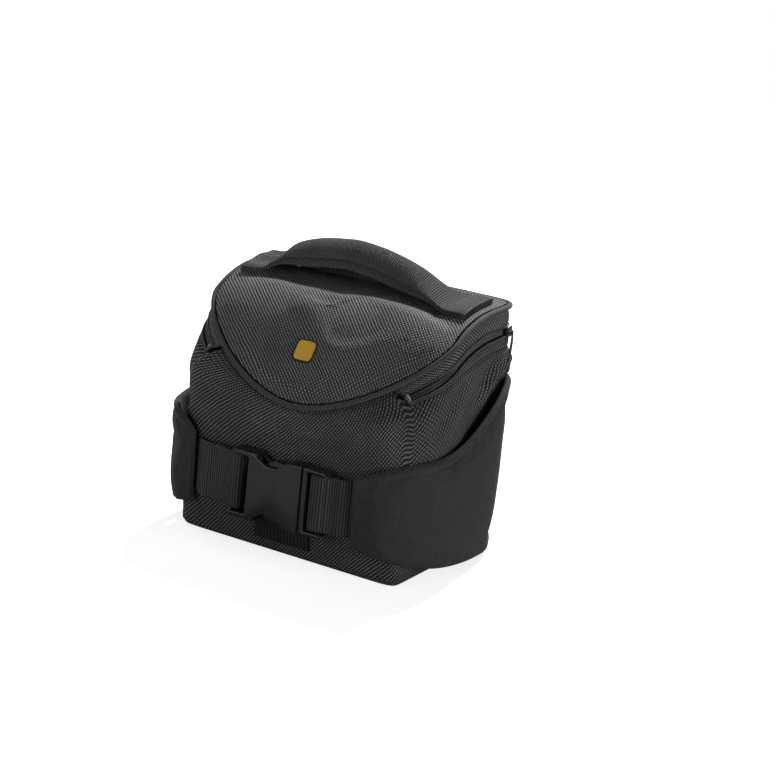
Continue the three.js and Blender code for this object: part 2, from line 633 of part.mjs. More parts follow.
function bucklePlug() {
  const half = BUCKLE_HEIGHT / 2;
  const [front, back] = [SOCKET_FRONT + PLUG_SETBACK, SOCKET_BACK - SOCKET_BEVEL];
  const inside = [SOCKET_FRONT + SOCKET_WALL + 1.5 * CLEARANCE, SOCKET_BACK - SOCKET_WALL - 1.5 * CLEARANCE];
  const room = WEBBING_WIDTH / 2 + 2 * CLEARANCE;
  const frameEdge = (side) => [
    [PLUG_START, BELT_Z + side * PLUG_TALL.mouth * half],
    [PLUG_END - PLUG_CORNER, BELT_Z + side * PLUG_TALL.bar * half],
    [PLUG_END, BELT_Z + side * room],
  ];
  const [barStart, barEnd] = [RIGHT_BAR_X - BAR_WIDTH / 2, RIGHT_BAR_X + BAR_WIDTH / 2];
  const between = (start, end) => rectangle(start, end, BELT_Z - room, BELT_Z + room);
  const overBar = between(barStart, barEnd);
  const cuts = [
    plate(between(PLUG_START + RAIL, barStart), front - OVERRUN, back + OVERRUN),
    plate(between(barEnd, PLUG_END + OVERRUN), front - OVERRUN, back + OVERRUN),
    plate(overBar, front - OVERRUN, BAR_Y - BAR_THICK / 2),
    plate(overBar, BAR_Y + BAR_THICK / 2, back + OVERRUN),
  ];
  const root = PLUG_START + OVERRUN;
  const prongX = (share) => root - share * PLUG_REACH.prong * SOCKET_LENGTH;
  const prong = (side) => PRONG.map(({ along, tall }) => [prongX(along), BELT_Z + side * tall * half]);
  const tip = PLUG_START - PLUG_REACH.tongue * SOCKET_LENGTH;
  const tongue = rectangle(tip, root, BELT_Z - TONGUE_WIDTH / 2, BELT_Z + TONGUE_WIDTH / 2);
  const block = toManifold(plate([...frameEdge(-1), ...frameEdge(1).reverse()], front, back, PLUG_BEVEL));
  const frame = cuts.reduce((solid, cut) => solid.subtract(toManifold(cut)), block);
  const inner = [prong(1), prong(-1), tongue].map((outline) => toManifold(plate(outline, ...inside)));
  return fromManifold(inner.reduce((solid, piece) => solid.add(piece), frame));
}

// The webbing patch sewn on the front panel behind the buckle
function frontLoop() {
  const levels = 9;
  return skin(
    Array.from({ length: levels + 1 }, (_, i) => {
      const z = lerp(LOOP_BOTTOM, LOOP_TOP, i / levels);
      const inner = Math.min(frontFace(0, z), frontFace(LOOP_WIDTH / 2, z)) - LOOP_GAP;
      const corner = (side, depth) => new THREE.Vector3((side * LOOP_WIDTH) / 2, inner - depth, z);
      return [corner(-1, 0), corner(1, 0), corner(1, WEBBING_THICK), corner(-1, WEBBING_THICK)];
    }),
  );
}

// The handle: one strip of webbing, flat on the lid at its ends and folded together at the grip
function handle() {
  const foot = lidHeight(0, HANDLE_Y) + LID_THICK / 2;
  const across = [-1, -0.82, -0.4, 0.4, 0.82, 1];
  return skin(
    HANDLE_ROWS.map(({ along, ahead, lie, lift, wide, fold }) => {
      const x = (along * HANDLE_LENGTH) / 2;
      const thick = lerp(WEBBING_THICK, HANDLE_THICK, fold);
      const place = (share, face) => {
        const y = HANDLE_Y - ahead + (share * wide * WEBBING_WIDTH) / 2;
        const onLid = lidPoint(x, y).z + LID_THICK / 2 + 2 * CLEARANCE;
        const free = foot + lift * HANDLE_RISE - HANDLE_HANG * fold * share ** 2;
        const middle = lerp(free, onLid, lie) + thick / 2;
        const round = 1 - fold * HANDLE_EDGE * Math.abs(share) ** 3;
        return new THREE.Vector3(x, y, middle + (face * round * thick) / 2);
      };
      const [over, under] = [1, -1].map((face) => across.map((share) => place(share, face)));
      return [...over, ...under.reverse()];
    }),
  );
}

// A small bare badge sewn on the lid's front slope
function badge() {
  const lines = 4;
  const lowest = LID_THICK / 2 + CLEARANCE;
  const depth = BADGE_HEIGHT * Math.cos(degToRad(BADGE_SLOPE));
  const row = (share, offset) =>
    Array.from({ length: lines + 1 }, (_, i) => {
      const x = BADGE_X + (i / lines - 0.5) * BADGE_WIDTH;
      return lidPoint(x, BADGE_Y + (share - 0.5) * depth, offset);
    });
  const shares = Array.from({ length: lines + 1 }, (_, i) => i / lines);
  return skin(shares.map((share) => [...row(share, lowest), ...row(share, lowest + BADGE_THICK).reverse()]));
}

// One plain bracket on the back: a plate against the back panel and a boss with a flat face for the bar's clamp
function barMount() {
  const plateBack = BACK_Y + CLEARANCE + PLATE_THICK;
  const centred = (width, height) => rectangle(-width / 2, width / 2, PLATE_Z - height / 2, PLATE_Z + height / 2);
  const base = plate(centred(PLATE_WIDTH, PLATE_HEIGHT), BACK_Y + CLEARANCE, plateBack);
  const boss = plate(centred(BOSS_WIDTH, BOSS_HEIGHT), plateBack - OVERRUN, plateBack + BOSS_DEPTH);
  return fromManifold(toManifold(base).add(toManifold(boss)));
}

// A slider sits outside the coil. out points away from the bag, down across the gusset and along by the coil.
function sliderFrame(degrees) {
  const turn = degToRad(degrees);
  const share = (COIL_FROM + coilTo(turn)) / 2;
  const out = gussetOut(turn);
  const run = gussetPoint(turn + TURN_STEP, share).sub(gussetPoint(turn - TURN_STEP, share));
  const down = new THREE.Vector3().crossVectors(out, run).normalize();
  const along = new THREE.Vector3().crossVectors(down, out);
  const seat = gussetPoint(turn, share).addScaledVector(out, COIL_THICK / 2 + CLEARANCE + SLIDER_LIFT);
  return { out, along, down, seat };
}

function sliderMesh(degrees) {
  const { out, along, down, seat } = sliderFrame(degrees);
  const place = new THREE.Matrix4().makeBasis(along, down, out);
  place.setPosition(seat.addScaledVector(out, SLIDER_THICK / 2));
  return new THREE.BoxGeometry(SLIDER_LENGTH, SLIDER_WIDTH, SLIDER_THICK).applyMatrix4(place);
}

// A pull hangs from its slider. down: share of its length below the slider's middle. wide: share of its width.
const PULL_ROWS = [
  { down: -0.06, wide: 0.75 },
  { down: 0.55, wide: 0.75 },
  { down: 0.62, wide: 1.25 },
  { down: 0.95, wide: 1.25 },
  { down: 1, wide: 0.9 },
];

function pullMesh(degrees) {
  const { out, along, seat } = sliderFrame(degrees);
  const level = along.clone().setZ(0).normalize();
  const top = seat.addScaledVector(out, SLIDER_THICK + CLEARANCE + PULL_THICK / 2);
  return skin(
    PULL_ROWS.map(({ down, wide }) => {
      const middle = top.clone().setZ(top.z - down * PULL_LENGTH);
      const corner = (a, b) => {
        const beside = middle.clone().addScaledVector(level, (a * wide * PULL_WIDTH) / 2);
        return beside.addScaledVector(out, (b * PULL_THICK) / 2);
      };
      return [corner(-1, -1), corner(1, -1), corner(1, 1), corner(-1, 1)];
    }),
  );
}

const bag = new THREE.Group();

function add(name, geometry, material) {
  const mesh = new THREE.Mesh(geometry, material);
  mesh.name = name;
  bag.add(mesh);
}

add("body_shell", bodyShell(), WOVEN_CLOTH);
add("lid", lid(), WOVEN_CLOTH);
add("lid_piping", lidPiping(), SMOOTH_CLOTH);
add("zip_tape_upper", gussetBand(() => 0, (turn) => COIL_FROM - seam(turn), TAPE_THICK), SMOOTH_CLOTH);
add("zip_coil", gussetBand(() => COIL_FROM, coilTo, COIL_THICK), PLASTIC);
add("zip_tape_lower", gussetBand((turn) => coilTo(turn) + seam(turn), () => 1, TAPE_THICK), SMOOTH_CLOTH);
add("handle", handle(), WEBBING);
add("wing_left", wing(-1, LEFT_WING_REACH), SMOOTH_CLOTH);
add("wing_right", wing(1, RIGHT_WING_REACH), SMOOTH_CLOTH);
add("strap_left", strap(-1, LEFT_BAR_X, LEFT_WING_REACH), WEBBING);
add("strap_right", strap(1, RIGHT_BAR_X, RIGHT_WING_REACH), WEBBING);
add("buckle_socket", buckleSocket(), PLASTIC);
add("buckle_plug", bucklePlug(), PLASTIC);
add("front_loop", frontLoop(), WEBBING);
add("badge", badge(), BADGE_FACE);
add("bar_mount", barMount(), PLASTIC);
SLIDER_TURNS.forEach((degrees, i) => {
  add(`zip_slider_${i + 1}`, sliderMesh(degrees), PLASTIC);
  add(`zip_pull_${i + 1}`, pullMesh(degrees), WEBBING);
});

// The origin is the middle of the whole bag's foot
const box = new THREE.Box3().setFromObject(bag);
const middle = box.getCenter(new THREE.Vector3());
bag.position.set(-middle.x, -middle.y, -box.min.z);

export default bag;
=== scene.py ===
"""The looks of a soft handlebar bag: woven body and lid, zip, webbing grip, padded belt and buckle."""

import math

import bmesh
import bpy
import numpy as np
from mathutils import Matrix, Vector


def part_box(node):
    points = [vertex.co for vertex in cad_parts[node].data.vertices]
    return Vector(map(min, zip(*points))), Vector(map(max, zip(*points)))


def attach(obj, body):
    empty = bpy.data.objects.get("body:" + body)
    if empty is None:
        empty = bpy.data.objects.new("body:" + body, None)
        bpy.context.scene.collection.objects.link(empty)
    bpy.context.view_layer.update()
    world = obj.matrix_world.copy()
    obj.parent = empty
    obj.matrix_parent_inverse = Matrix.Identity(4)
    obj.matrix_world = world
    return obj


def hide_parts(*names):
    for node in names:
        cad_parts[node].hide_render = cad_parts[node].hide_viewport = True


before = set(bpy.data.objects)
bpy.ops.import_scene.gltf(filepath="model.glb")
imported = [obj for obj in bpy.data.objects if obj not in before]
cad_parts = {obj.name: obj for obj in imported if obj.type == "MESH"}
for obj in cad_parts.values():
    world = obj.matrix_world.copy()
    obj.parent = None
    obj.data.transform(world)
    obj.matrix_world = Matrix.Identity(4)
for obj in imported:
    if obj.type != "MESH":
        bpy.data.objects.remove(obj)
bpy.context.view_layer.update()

# Sizes in millimetres, as the solids have them
MM = 0.001
BASE_WIDTH, BASE_DEPTH, LID_WIDTH = 170, 112, 185
NOSE_LEAD = 6
BACK_HEIGHT, NOSE_HEIGHT = 172, 103
WIDEST_INSET = 35.5
WALL = 3
CLEARANCE = 0.3
LID_THICK, LID_CROWN = 3, 6
PIPING_R = 2
GUSSET_BACK, GUSSET_END = 27, 12
ZIP_END_TURN, END_STEP = 41.5, 2.75
TAPE_THICK, COIL_WIDTH, COIL_THICK = 1.6, 5.5, 2.6
COIL_FROM = 0.44
WEBBING_WIDTH, WEBBING_THICK = 38, 1.8
HANDLE_LENGTH, HANDLE_Y, HANDLE_RISE = 172, 21, 17
WING_THICK, WING_STAND = 4.5, 7
WING_REACH = {"right": 54, "left": 69}
BELT_Z = 47
BUCKLE_HEIGHT = 46
SOCKET_LENGTH, SOCKET_START, SOCKET_THICK = 53, -33, 11
PLUG_LENGTH, PLUG_BAR_SETBACK = 18.5, 3.7
RAIL, BAR_WIDTH, BAR_THICK = 3.5, 4, 3
LOOP_WIDTH, LOOP_BOTTOM, LOOP_TOP = 42, 8, 62
SLIDER_LENGTH, SLIDER_WIDTH, SLIDER_THICK, SLIDER_LIFT = 9, 7, 2.4, 0.5
SLIDER_TURNS = (40.5, 51)
PULL_LENGTH, PULL_CORD, PULL_TAB = 27, 0.55, (4.6, 10.5)
BRACKET_THICK = 3
BRACKET_PLATE, BRACKET_BOSS = (38, 30, 7), (20, 17, 4)  # half width, half height, corner
STRAP_RIB, HANDLE_RIB, LOOP_RIB = 1.85, 1.6, 2.6
WING_HEM = 5.6
BADGE_WIDTH, BADGE_HEIGHT, BADGE_X, BADGE_SETBACK, BADGE_SLOPE = 17, 15, -3, 17, 52
FRONT_Y, BACK_Y = -BASE_DEPTH / 2, BASE_DEPTH / 2
WIDEST_Y = FRONT_Y + WIDEST_INSET
NOSE_Y = FRONT_Y - NOSE_LEAD
BACK_SQUARE = 18
RIM = {"half": LID_WIDTH / 2, "front": NOSE_Y, "square": 1.8}
SIDE_PROFILE = ((0, 0), (0.33, 0.745), (0.67, 0.97), (1, 1))  # depth, rise
BODY_ROWS = (  # up, wide, lead, square
    (0, -0.2, -0.3, 16),
    (0.025, 0.05, 0, 16),
    (0.25, 0.35, 0.7, 9),
    (0.5, 0.7, 0.95, 6),
    (0.75, 1.05, 1.15, 4.4),
    (0.9, 1.35, 1.2, 3.6),
)
SHOULDER = {"wide": 1.45, "lead": 1.1, "square": 3.3, "end": 2.6}
PADDING = {  # longest move, extra cloth, pressure, grid that settles, stiffness
    "body": (1.6, 0.02, 3.0, (24, 110), 2),
    "lid": (0.8, 0.005, 1.5, (22, 72), 8),
    "wing": (1.6, 0.012, 4.0, (52, 18), 6),
}
SETTLING_FRAMES = 20

# The solids stand where the middle of the body is, so everything here shares its shift
body_low, body_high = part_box("body_shell")
SHIFT = np.array([(body_low.x + body_high.x) / 2, body_high.y - BACK_Y * MM, 0])


# Small helpers for arrays
def mix(a, b, t):
    return a + (b - a) * t


def ease(value, low, high):
    t = np.clip((value - low) / (high - low), 0, 1)
    return t * t * (3 - 2 * t)


def bump(value, middle, half):
    """1 at the middle, falling softly to 0 at half away from it"""
    return np.exp(-(((value - middle) / (0.5 * half)) ** 2))


def unit(vectors):
    return vectors / np.maximum(np.linalg.norm(vectors, axis=-1, keepdims=True), 1e-9)


def soft_noise(u, v, size, seed):
    """Smooth random waves between -1 and 1 over a cloth, with cells of that size in millimetres"""
    table = np.random.RandomState(seed).uniform(-1, 1, (64, 64))
    u, v = u / size, v / size
    i, j = np.floor(u).astype(int), np.floor(v).astype(int)
    s, t = ease(u - i, 0, 1), ease(v - j, 0, 1)
    at = lambda a, b: table[(i + a) % 64, (j + b) % 64]
    return mix(mix(at(0, 0), at(1, 0), s), mix(at(0, 1), at(1, 1), s), t)


def through(values, count):
    """A smooth curve through evenly spaced values, sampled count times (Catmull-Rom)"""
    values = np.asarray(values, float)
    t = np.linspace(0, len(values) - 1, count)
    i = np.minimum(np.floor(t).astype(int), len(values) - 2)
    f = (t - i).reshape((-1,) + (1,) * (values.ndim - 1))
    last = len(values) - 1
    p0, p1, p2, p3 = values[np.maximum(i - 1, 0)], values[i], values[i + 1], values[np.minimum(i + 2, last)]
    v0, v1 = (p2 - p0) * 0.5, (p3 - p1) * 0.5
    return (2 * p1 - 2 * p2 + v0 + v1) * f**3 + (-3 * p1 + 3 * p2 - 2 * v0 - v1) * f**2 + v0 * f + p1


def run_along(points):
    """Distance along a run of points from its first"""
    return np.r_[0, np.cumsum(np.linalg.norm(np.diff(points, axis=0), axis=-1))]


def evenly(points, count):
    """Points at even distances along a run of points"""
    steps = run_along(points)
    at = np.linspace(0, steps[-1], count)
    return np.stack([np.interp(at, steps, points[:, k]) for k in range(points.shape[1])], axis=1)


def circles(side, lift, sides):
    """A unit circle across each place of a path, from two directions across the path"""
    a = np.linspace(0, 2 * math.pi, sides, endpoint=False)
    return side[:, None] * np.cos(a)[None, :, None] + lift[:, None] * np.sin(a)[None, :, None]


def lengths_of_cloth(along, across):
    """Cloth coordinates of a grid from the distances along it and across it"""
    return np.stack(np.meshgrid(along, across, indexing="ij"), axis=-1)


# The bag's form, as the solids have it
def plan(turn, half, front, square, inset=0.0):
    c, s = np.cos(turn), np.sin(turn)
    power = np.where(s < 0, square, BACK_SQUARE)
    reach = np.where(s < 0, WIDEST_Y - front, BACK_Y - WIDEST_Y) - inset
    k = (np.abs(c) ** power + np.abs(s) ** power) ** (-1 / power)
    return (half - inset) * c * k, WIDEST_Y + reach * s * k


def rim_height(y):
    depth = (y - NOSE_Y) / (BACK_Y - NOSE_Y)
    rise = 0
    for at, height in SIDE_PROFILE:
        weight = height
        for other, _ in SIDE_PROFILE:
            if other != at:
                weight = weight * (depth - other) / (at - other)
        rise = rise + weight
    return mix(NOSE_HEIGHT, BACK_HEIGHT, rise)


def nose_turn(turn):
    """Degrees from the side towards the nose"""
    return -np.degrees(np.arcsin(np.clip(np.sin(turn), -1, 1)))


def nose_share(turn):
    return ease(nose_turn(turn), ZIP_END_TURN - END_STEP, ZIP_END_TURN + END_STEP)


def endward(turn):
    return ease(nose_turn(turn), -20, ZIP_END_TURN)


def rim_at(turn, inset=0.0):
    x, y = plan(turn, RIM["half"], RIM["front"], RIM["square"], inset)
    return x, y, rim_height(plan(turn, RIM["half"], RIM["front"], RIM["square"])[1])


def body_top(turn):
    gusset = mix(mix(GUSSET_BACK, GUSSET_END, endward(turn)), PIPING_R + CLEARANCE, nose_share(turn))
    return rim_at(turn)[2] - gusset


def section(wide, lead, square):
    return mix(BASE_WIDTH, LID_WIDTH, wide) / 2, FRONT_Y - lead * NOSE_LEAD, square


def shoulder(turn):
    half, front, _ = section(SHOULDER["wide"], SHOULDER["lead"], 0)
    return half, front, mix(SHOULDER["square"], SHOULDER["end"], endward(turn))


def body_plan(turn, up, inset=0.0):
    """Plan of the body at each turn and share of its height"""
    rim = (RIM["half"], RIM["front"], RIM["square"])
    top = [mix(a, b, nose_share(turn)) for a, b in zip(shoulder(turn), rim)]
    rows = [(row[0], *section(*row[1:])) for row in BODY_ROWS] + [(1, *top)]
    values = [np.broadcast_to(rows[0][k + 1], turn.shape).astype(float) for k in range(3)]
    for low, high in zip(rows, rows[1:]):
        t = np.clip((up - low[0]) / (high[0] - low[0]), 0, 1)
        values = [np.where(up > low[0], mix(low[k + 1], high[k + 1], t), values[k]) for k in range(3)]
    return plan(turn, *values, inset)


def body_at(turn, z, inset=0.0):
    turn, z = np.broadcast_arrays(np.asarray(turn, float), np.asarray(z, float))
    x, y = body_plan(turn, z / body_top(turn), inset)
    return np.stack([x, y, z], axis=-1)


def body_out(turn, z):
    along = body_at(turn + 0.01, z) - body_at(turn - 0.01, z)
    return unit(np.stack([along[..., 1], -along[..., 0], np.zeros_like(along[..., 0])], axis=-1))


def front_turn(x, z):
    """Turn in degrees at which the body's front reaches x"""
    low = np.full(np.broadcast(x, z).shape, -90.0)
    high = np.where(np.asarray(x) > 0, -45.0, -135.0) + np.zeros_like(low)
    for _ in range(30):
        middle = (low + high) / 2
        short = np.abs(body_at(np.radians(middle), z)[..., 0]) < np.abs(x)
        low, high = np.where(short, middle, low), np.where(short, high, middle)
    return (low + high) / 2


def front_face(x, z):
    return body_at(np.radians(front_turn(x, z)), z)[..., 1]


def belt_face(x):
    return min(float(front_face(x, BELT_Z + side * WEBBING_WIDTH / 2)) for side in (-1, 0, 1))


def lid_height(x, y):
    front = y < WIDEST_Y
    power = np.where(front, RIM["square"], BACK_SQUARE)
    reach = np.where(front, WIDEST_Y - NOSE_Y, BACK_Y - WIDEST_Y)
    gauge = (np.abs(x / RIM["half"]) ** power + np.abs((y - WIDEST_Y) / reach) ** power) ** (1 / power)
    return rim_height(y) + LID_CROWN * (1 - np.minimum(1, gauge) ** 2)


def lid_at(x, y, offset=0.0):
    step = 0.2
    slope_x = (lid_height(x + step, y) - lid_height(x - step, y)) / (2 * step)
    slope_y = (lid_height(x, y + step) - lid_height(x, y - step)) / (2 * step)
    normal = unit(np.stack([-slope_x, -slope_y, np.ones_like(slope_x)], axis=-1))
    return np.stack([x, y, lid_height(x, y)], axis=-1) + normal * np.asarray(offset)[..., None]


def gusset_at(turn, share):
    top = plan(turn, RIM["half"], RIM["front"], RIM["square"], PIPING_R / 2)
    bottom = plan(turn, *shoulder(turn), WALL / 2)
    highest = rim_at(turn)[2] - PIPING_R - 2 * CLEARANCE
    lowest = body_top(turn) + 2 * CLEARANCE
    return np.stack(
        [mix(top[0], bottom[0], share), mix(top[1], bottom[1], share), mix(highest, lowest, share)], axis=-1
    )


def gusset_out(turn):
    across = gusset_at(turn, 1) - gusset_at(turn, 0)
    along = gusset_at(turn + 0.01, 0.5) - gusset_at(turn - 0.01, 0.5)
    out = np.cross(across, along)
    out[..., 2] = 0
    return unit(out)


def coil_to(turn):
    return COIL_FROM + COIL_WIDTH / np.linalg.norm(gusset_at(turn, 1) - gusset_at(turn, 0), axis=-1)


# Turns at even distances along the lid's edge, and along the zip between its two ends
def even_turns(start, end, count):
    turns = np.radians(np.linspace(start, end, 6000))
    x, y, z = rim_at(turns)
    run = np.r_[0, np.cumsum(np.hypot(np.hypot(np.diff(x), np.diff(y)), np.diff(z)))]
    return np.interp(np.linspace(0, run[-1], count), run, turns), run[-1]


ROUND_COUNT = 420
ROUND, ROUND_LENGTH = even_turns(-90, 270, ROUND_COUNT + 1)
ROUND = ROUND[:-1]
ZIP_START, ZIP_STOP = -(ZIP_END_TURN + 0.3 * END_STEP), 180 + ZIP_END_TURN + 0.3 * END_STEP


# Meshes
def new_piece(name, verts, faces, cloth=None, smooth=True):
    """A mesh object from points in millimetres, with its cloth coordinates in millimetres as a UV map"""
    mesh = bpy.data.meshes.new(name)
    mesh.from_pydata((np.asarray(verts) * MM + SHIFT).tolist(), [], faces)
    if cloth is not None:
        layer = mesh.uv_layers.new(name="cloth")
        layer.data.foreach_set("uv", np.asarray(cloth, float).ravel())
    mesh.polygons.foreach_set("use_smooth", [smooth] * len(mesh.polygons))
    mesh.update()
    piece = bpy.data.objects.new(name, mesh)
    bpy.context.scene.collection.objects.link(piece)
    return piece


def woven_grid(name, points, cloth, loop_rows=False, loop_columns=False, caps=False):
    """A grid of points as one cloth. Where the grid closes on itself, cloth has one more row or column."""
    rows, columns = points.shape[:2]
    row_steps = rows if loop_rows else rows - 1
    column_steps = columns if loop_columns else columns - 1
    i, j = np.meshgrid(np.arange(row_steps), np.arange(column_steps), indexing="ij")
    i, j = i.ravel(), j.ravel()
    corner = lambda a, b: ((i + a) % rows) * columns + (j + b) % columns
    faces = np.stack([corner(0, 0), corner(0, 1), corner(1, 1), corner(1, 0)], axis=1)
    verts = points.reshape(-1, 3)
    a, b, c, d = (verts[faces[:, k]] for k in range(4))
    volume = (np.cross(b - a, c - a) * a).sum() + (np.cross(c - a, d - a) * a).sum()
    loops = [(0, 0), (0, 1), (1, 1), (1, 0)]
    uv = np.stack([cloth[i + a, j + b] for a, b in loops], axis=1)
    if volume < 0:
        faces, uv = faces[:, ::-1], uv[:, ::-1]
    faces, uv = faces.tolist(), uv.reshape(-1, 2)
    if caps:
        first, last = list(range(columns)), [(rows - 1) * columns + k for k in range(columns)]
        if volume >= 0:
            first = first[::-1]
        else:
            last = last[::-1]
        for cap in (first, last):
            faces.append(cap)
            flat = np.array([cloth[k // columns, k % columns] for k in cap])
            uv = np.vstack([uv, flat])
    return new_piece(name, verts, faces, uv)


def grid_out(points, loop_columns=False):
    """Normals of a grid of points"""
    if loop_columns:
        along = np.roll(points, -1, axis=1) - np.roll(points, 1, axis=1)
    else:
        along = np.gradient(points, axis=1)
    return unit(np.cross(along, np.gradient(points, axis=0)))


def paint(piece, material):
    piece.data.materials.clear()
    piece.data.materials.append(material)
    return piece


def finish_piece(piece, material, slot, *nodes):
    paint(piece, material)
    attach(piece, "root")
    if nodes:
        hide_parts(*nodes)
    return piece


# Sewing
def walk(points, path, steps=1):
    """Places on a grid of points along straight runs between (row, column) stops"""
    stops = np.array(path, float)
    at = np.linspace(0, len(stops) - 1, (len(stops) - 1) * steps + 1)
    row, column = (np.interp(at, np.arange(len(stops)), stops[:, k]) for k in range(2))
    i = np.clip(np.floor(row).astype(int), 0, points.shape[0] - 2)
    j = np.clip(np.floor(column).astype(int), 0, points.shape[1] - 2)
    s, t = (row - i)[:, None], (column - j)[:, None]
    return mix(mix(points[i, j], points[i + 1, j], s), mix(points[i, j + 1], points[i + 1, j + 1], s), t)


STITCH_SWELL = ((0, 0.35), (0.2, 0.9), (0.5, 1), (0.8, 0.9), (1, 0.35))  # along a stitch, thickness
STITCH_SHARE = 0.84  # of its step that a stitch fills


def sew(name, lines, length=2.6, radius=0.2, material=None):
    """Stitches along lines of points, as one mesh. Without a length, each spans two neighbouring points."""
    pairs = []
    for line in lines:
        if length:
            total = np.linalg.norm(np.diff(line, axis=0), axis=1).sum()
            line = evenly(line, max(2, int(round(total / length)) + 1))
        pairs.append(np.stack([line[:-1], mix(line[:-1], line[1:], STITCH_SHARE)], axis=1))
    pairs = np.concatenate(pairs)
    way = unit(pairs[:, 1] - pairs[:, 0])
    side = unit(np.cross(way, np.array([0.13, 0.31, 0.94])))
    swell = np.array(STITCH_SWELL)
    sides, rings = 6, len(STITCH_SWELL)
    centre = mix(pairs[:, :1], pairs[:, 1:], swell[None, :, :1])
    thick = radius * swell[None, :, 1, None, None]
    verts = centre[:, :, None] + circles(side, np.cross(way, side), sides)[:, None] * thick
    faces = []
    for start in range(0, len(pairs) * sides * rings, sides * rings):
        for low in range(start, start + sides * (rings - 1), sides):
            high = low + sides
            for k in range(sides):
                faces.append((low + k, high + k, high + (k + 1) % sides, low + (k + 1) % sides))
        faces.append(tuple(start + k for k in range(sides)))
        faces.append(tuple(start + sides * (rings - 1) + k for k in reversed(range(sides))))
    stitches = new_piece(name, verts.reshape(-1, 3), faces)
    return finish_piece(stitches, material or THREAD, "webbing")


# Padding
def settled(points, held, padding, loop=False):
    """How a padded cloth moves when it is cut a little too large for where it is sewn down and then filled.
    held is 1 where the cloth is sewn down, and padding is a row of PADDING. Gives each point's movement."""
    most, growth, pressure, coarse, stiff = PADDING[padding]
    rows, columns = points.shape[:2]
    r = np.unique(np.linspace(0, rows - 1, coarse[0]).round().astype(int))
    last_column = columns if loop else columns - 1
    c = np.unique(np.linspace(0, last_column, coarse[1], endpoint=not loop).round().astype(int))
    few, firm = points[np.ix_(r, c)], held[np.ix_(r, c)]
    m, n = len(r), len(c)
    wide = n if loop else n - 1
    faces = [
        (i * n + j, i * n + (j + 1) % n, (i + 1) * n + (j + 1) % n, (i + 1) * n + j)
        for i in range(m - 1) for j in range(wide)
    ]
    scene = bpy.context.scene
    mesh = bpy.data.meshes.new("padding")
    mesh.from_pydata((few.reshape(-1, 3) * MM).tolist(), [], faces)
    pad = bpy.data.objects.new("padding", mesh)
    scene.collection.objects.link(pad)
    group = pad.vertex_groups.new(name="held")
    for k, weight in enumerate(firm.ravel()):
        group.add([k], float(weight), "REPLACE")
    cloth = pad.modifiers.new("cloth", "CLOTH")
    cloth.settings.quality = 6
    cloth.settings.mass = 0.3
    cloth.settings.bending_stiffness = stiff
    cloth.settings.vertex_group_mass = "held"
    cloth.settings.shrink_min = -growth
    cloth.settings.use_pressure = True
    cloth.settings.uniform_pressure_force = pressure
    cloth.settings.effector_weights.gravity = 0
    cloth.collision_settings.use_collision = False
    cloth.point_cache.frame_start, cloth.point_cache.frame_end = 1, SETTLING_FRAMES
    for moment in range(1, SETTLING_FRAMES + 1):
        scene.frame_set(moment)
        bpy.context.view_layer.update()
    done = pad.evaluated_get(bpy.context.evaluated_depsgraph_get()).to_mesh()
    place = np.empty(m * n * 3)
    done.vertices.foreach_get("co", place)
    move = place.reshape(m, n, 3) / MM - few
    bpy.data.objects.remove(pad)
    scene.frame_set(1)
    reach = np.linalg.norm(move, axis=-1, keepdims=True)
    move = move * (most * np.tanh(reach / most) / np.maximum(reach, 1e-6)) * (1 - firm)[..., None]
    if loop:
        c, move = np.r_[c, columns], np.concatenate([move, move[:, :1]], axis=1)
    row = np.interp(np.arange(rows), r, np.arange(m))
    column = np.interp(np.arange(columns), c, np.arange(len(c)))
    i, j = np.minimum(row.astype(int), m - 2), np.minimum(column.astype(int), len(c) - 2)
    s, t = ease(row - i, 0, 1)[:, None, None], ease(column - j, 0, 1)[None, :, None]
    at = lambda a, b: move[np.ix_(i + a, j + b)]
    return mix(mix(at(0, 0), at(1, 0), s), mix(at(0, 1), at(1, 1), s), t)


# Shader trees
class Net:
    """Puts nodes in one tree. Each call gives back the new node's output."""

    def __init__(self, tree):
        self.tree = tree

    def put(self, kind, inputs=(), output=0, **settings):
        node = self.tree.nodes.new(kind)
        for key, value in settings.items():
            setattr(node, key, value)
        for key, value in dict(inputs).items():
            self.join(value, node.inputs[key])
        return node.outputs[output] if output is not None else node

    def join(self, value, socket):
        if isinstance(value, bpy.types.NodeSocket):
            self.tree.links.new(value, socket)
        else:
            socket.default_value = value

    def math(self, operation, *values):
        return self.put("ShaderNodeMath", dict(enumerate(values)), operation=operation)

    def times(self, a, b):
        return self.math("MULTIPLY", a, b)

    def plus(self, a, b):
        return self.math("ADD", a, b)

    def power(self, a, b):
        return self.math("POWER", a, b)

    def range(self, value, low, high, to_low=0.0, to_high=1.0):
        return self.put(
            "ShaderNodeMapRange",
            {"Value": value, "From Min": low, "From Max": high, "To Min": to_low, "To Max": to_high},
        )

    def blend(self, share, a, b):
        node = self.put("ShaderNodeMix", output=None, data_type="RGBA")
        self.join(share, node.inputs[0])
        self.join(a, node.inputs[6])
        self.join(b, node.inputs[7])
        return node.outputs[2]

    def fade(self, share, a, b):
        node = self.put("ShaderNodeMix", output=None, data_type="FLOAT")
        for key, value in ((0, share), (2, a), (3, b)):
            self.join(value, node.inputs[key])
        return node.outputs[0]

    def parts(self, vector):
        return self.put("ShaderNodeSeparateXYZ", {0: vector}, output=None).outputs

    def noise(self, vector, scale, detail=2.0, rough=0.5):
        return self.put(
            "ShaderNodeTexNoise", {"Vector": vector, "Scale": scale, "Detail": detail, "Roughness": rough}
        )

    def group(self, tree, inputs):
        node = self.put("ShaderNodeGroup", output=None, node_tree=tree)
        for key, value in inputs.items():
            self.join(value, node.inputs[key])
        return node.outputs


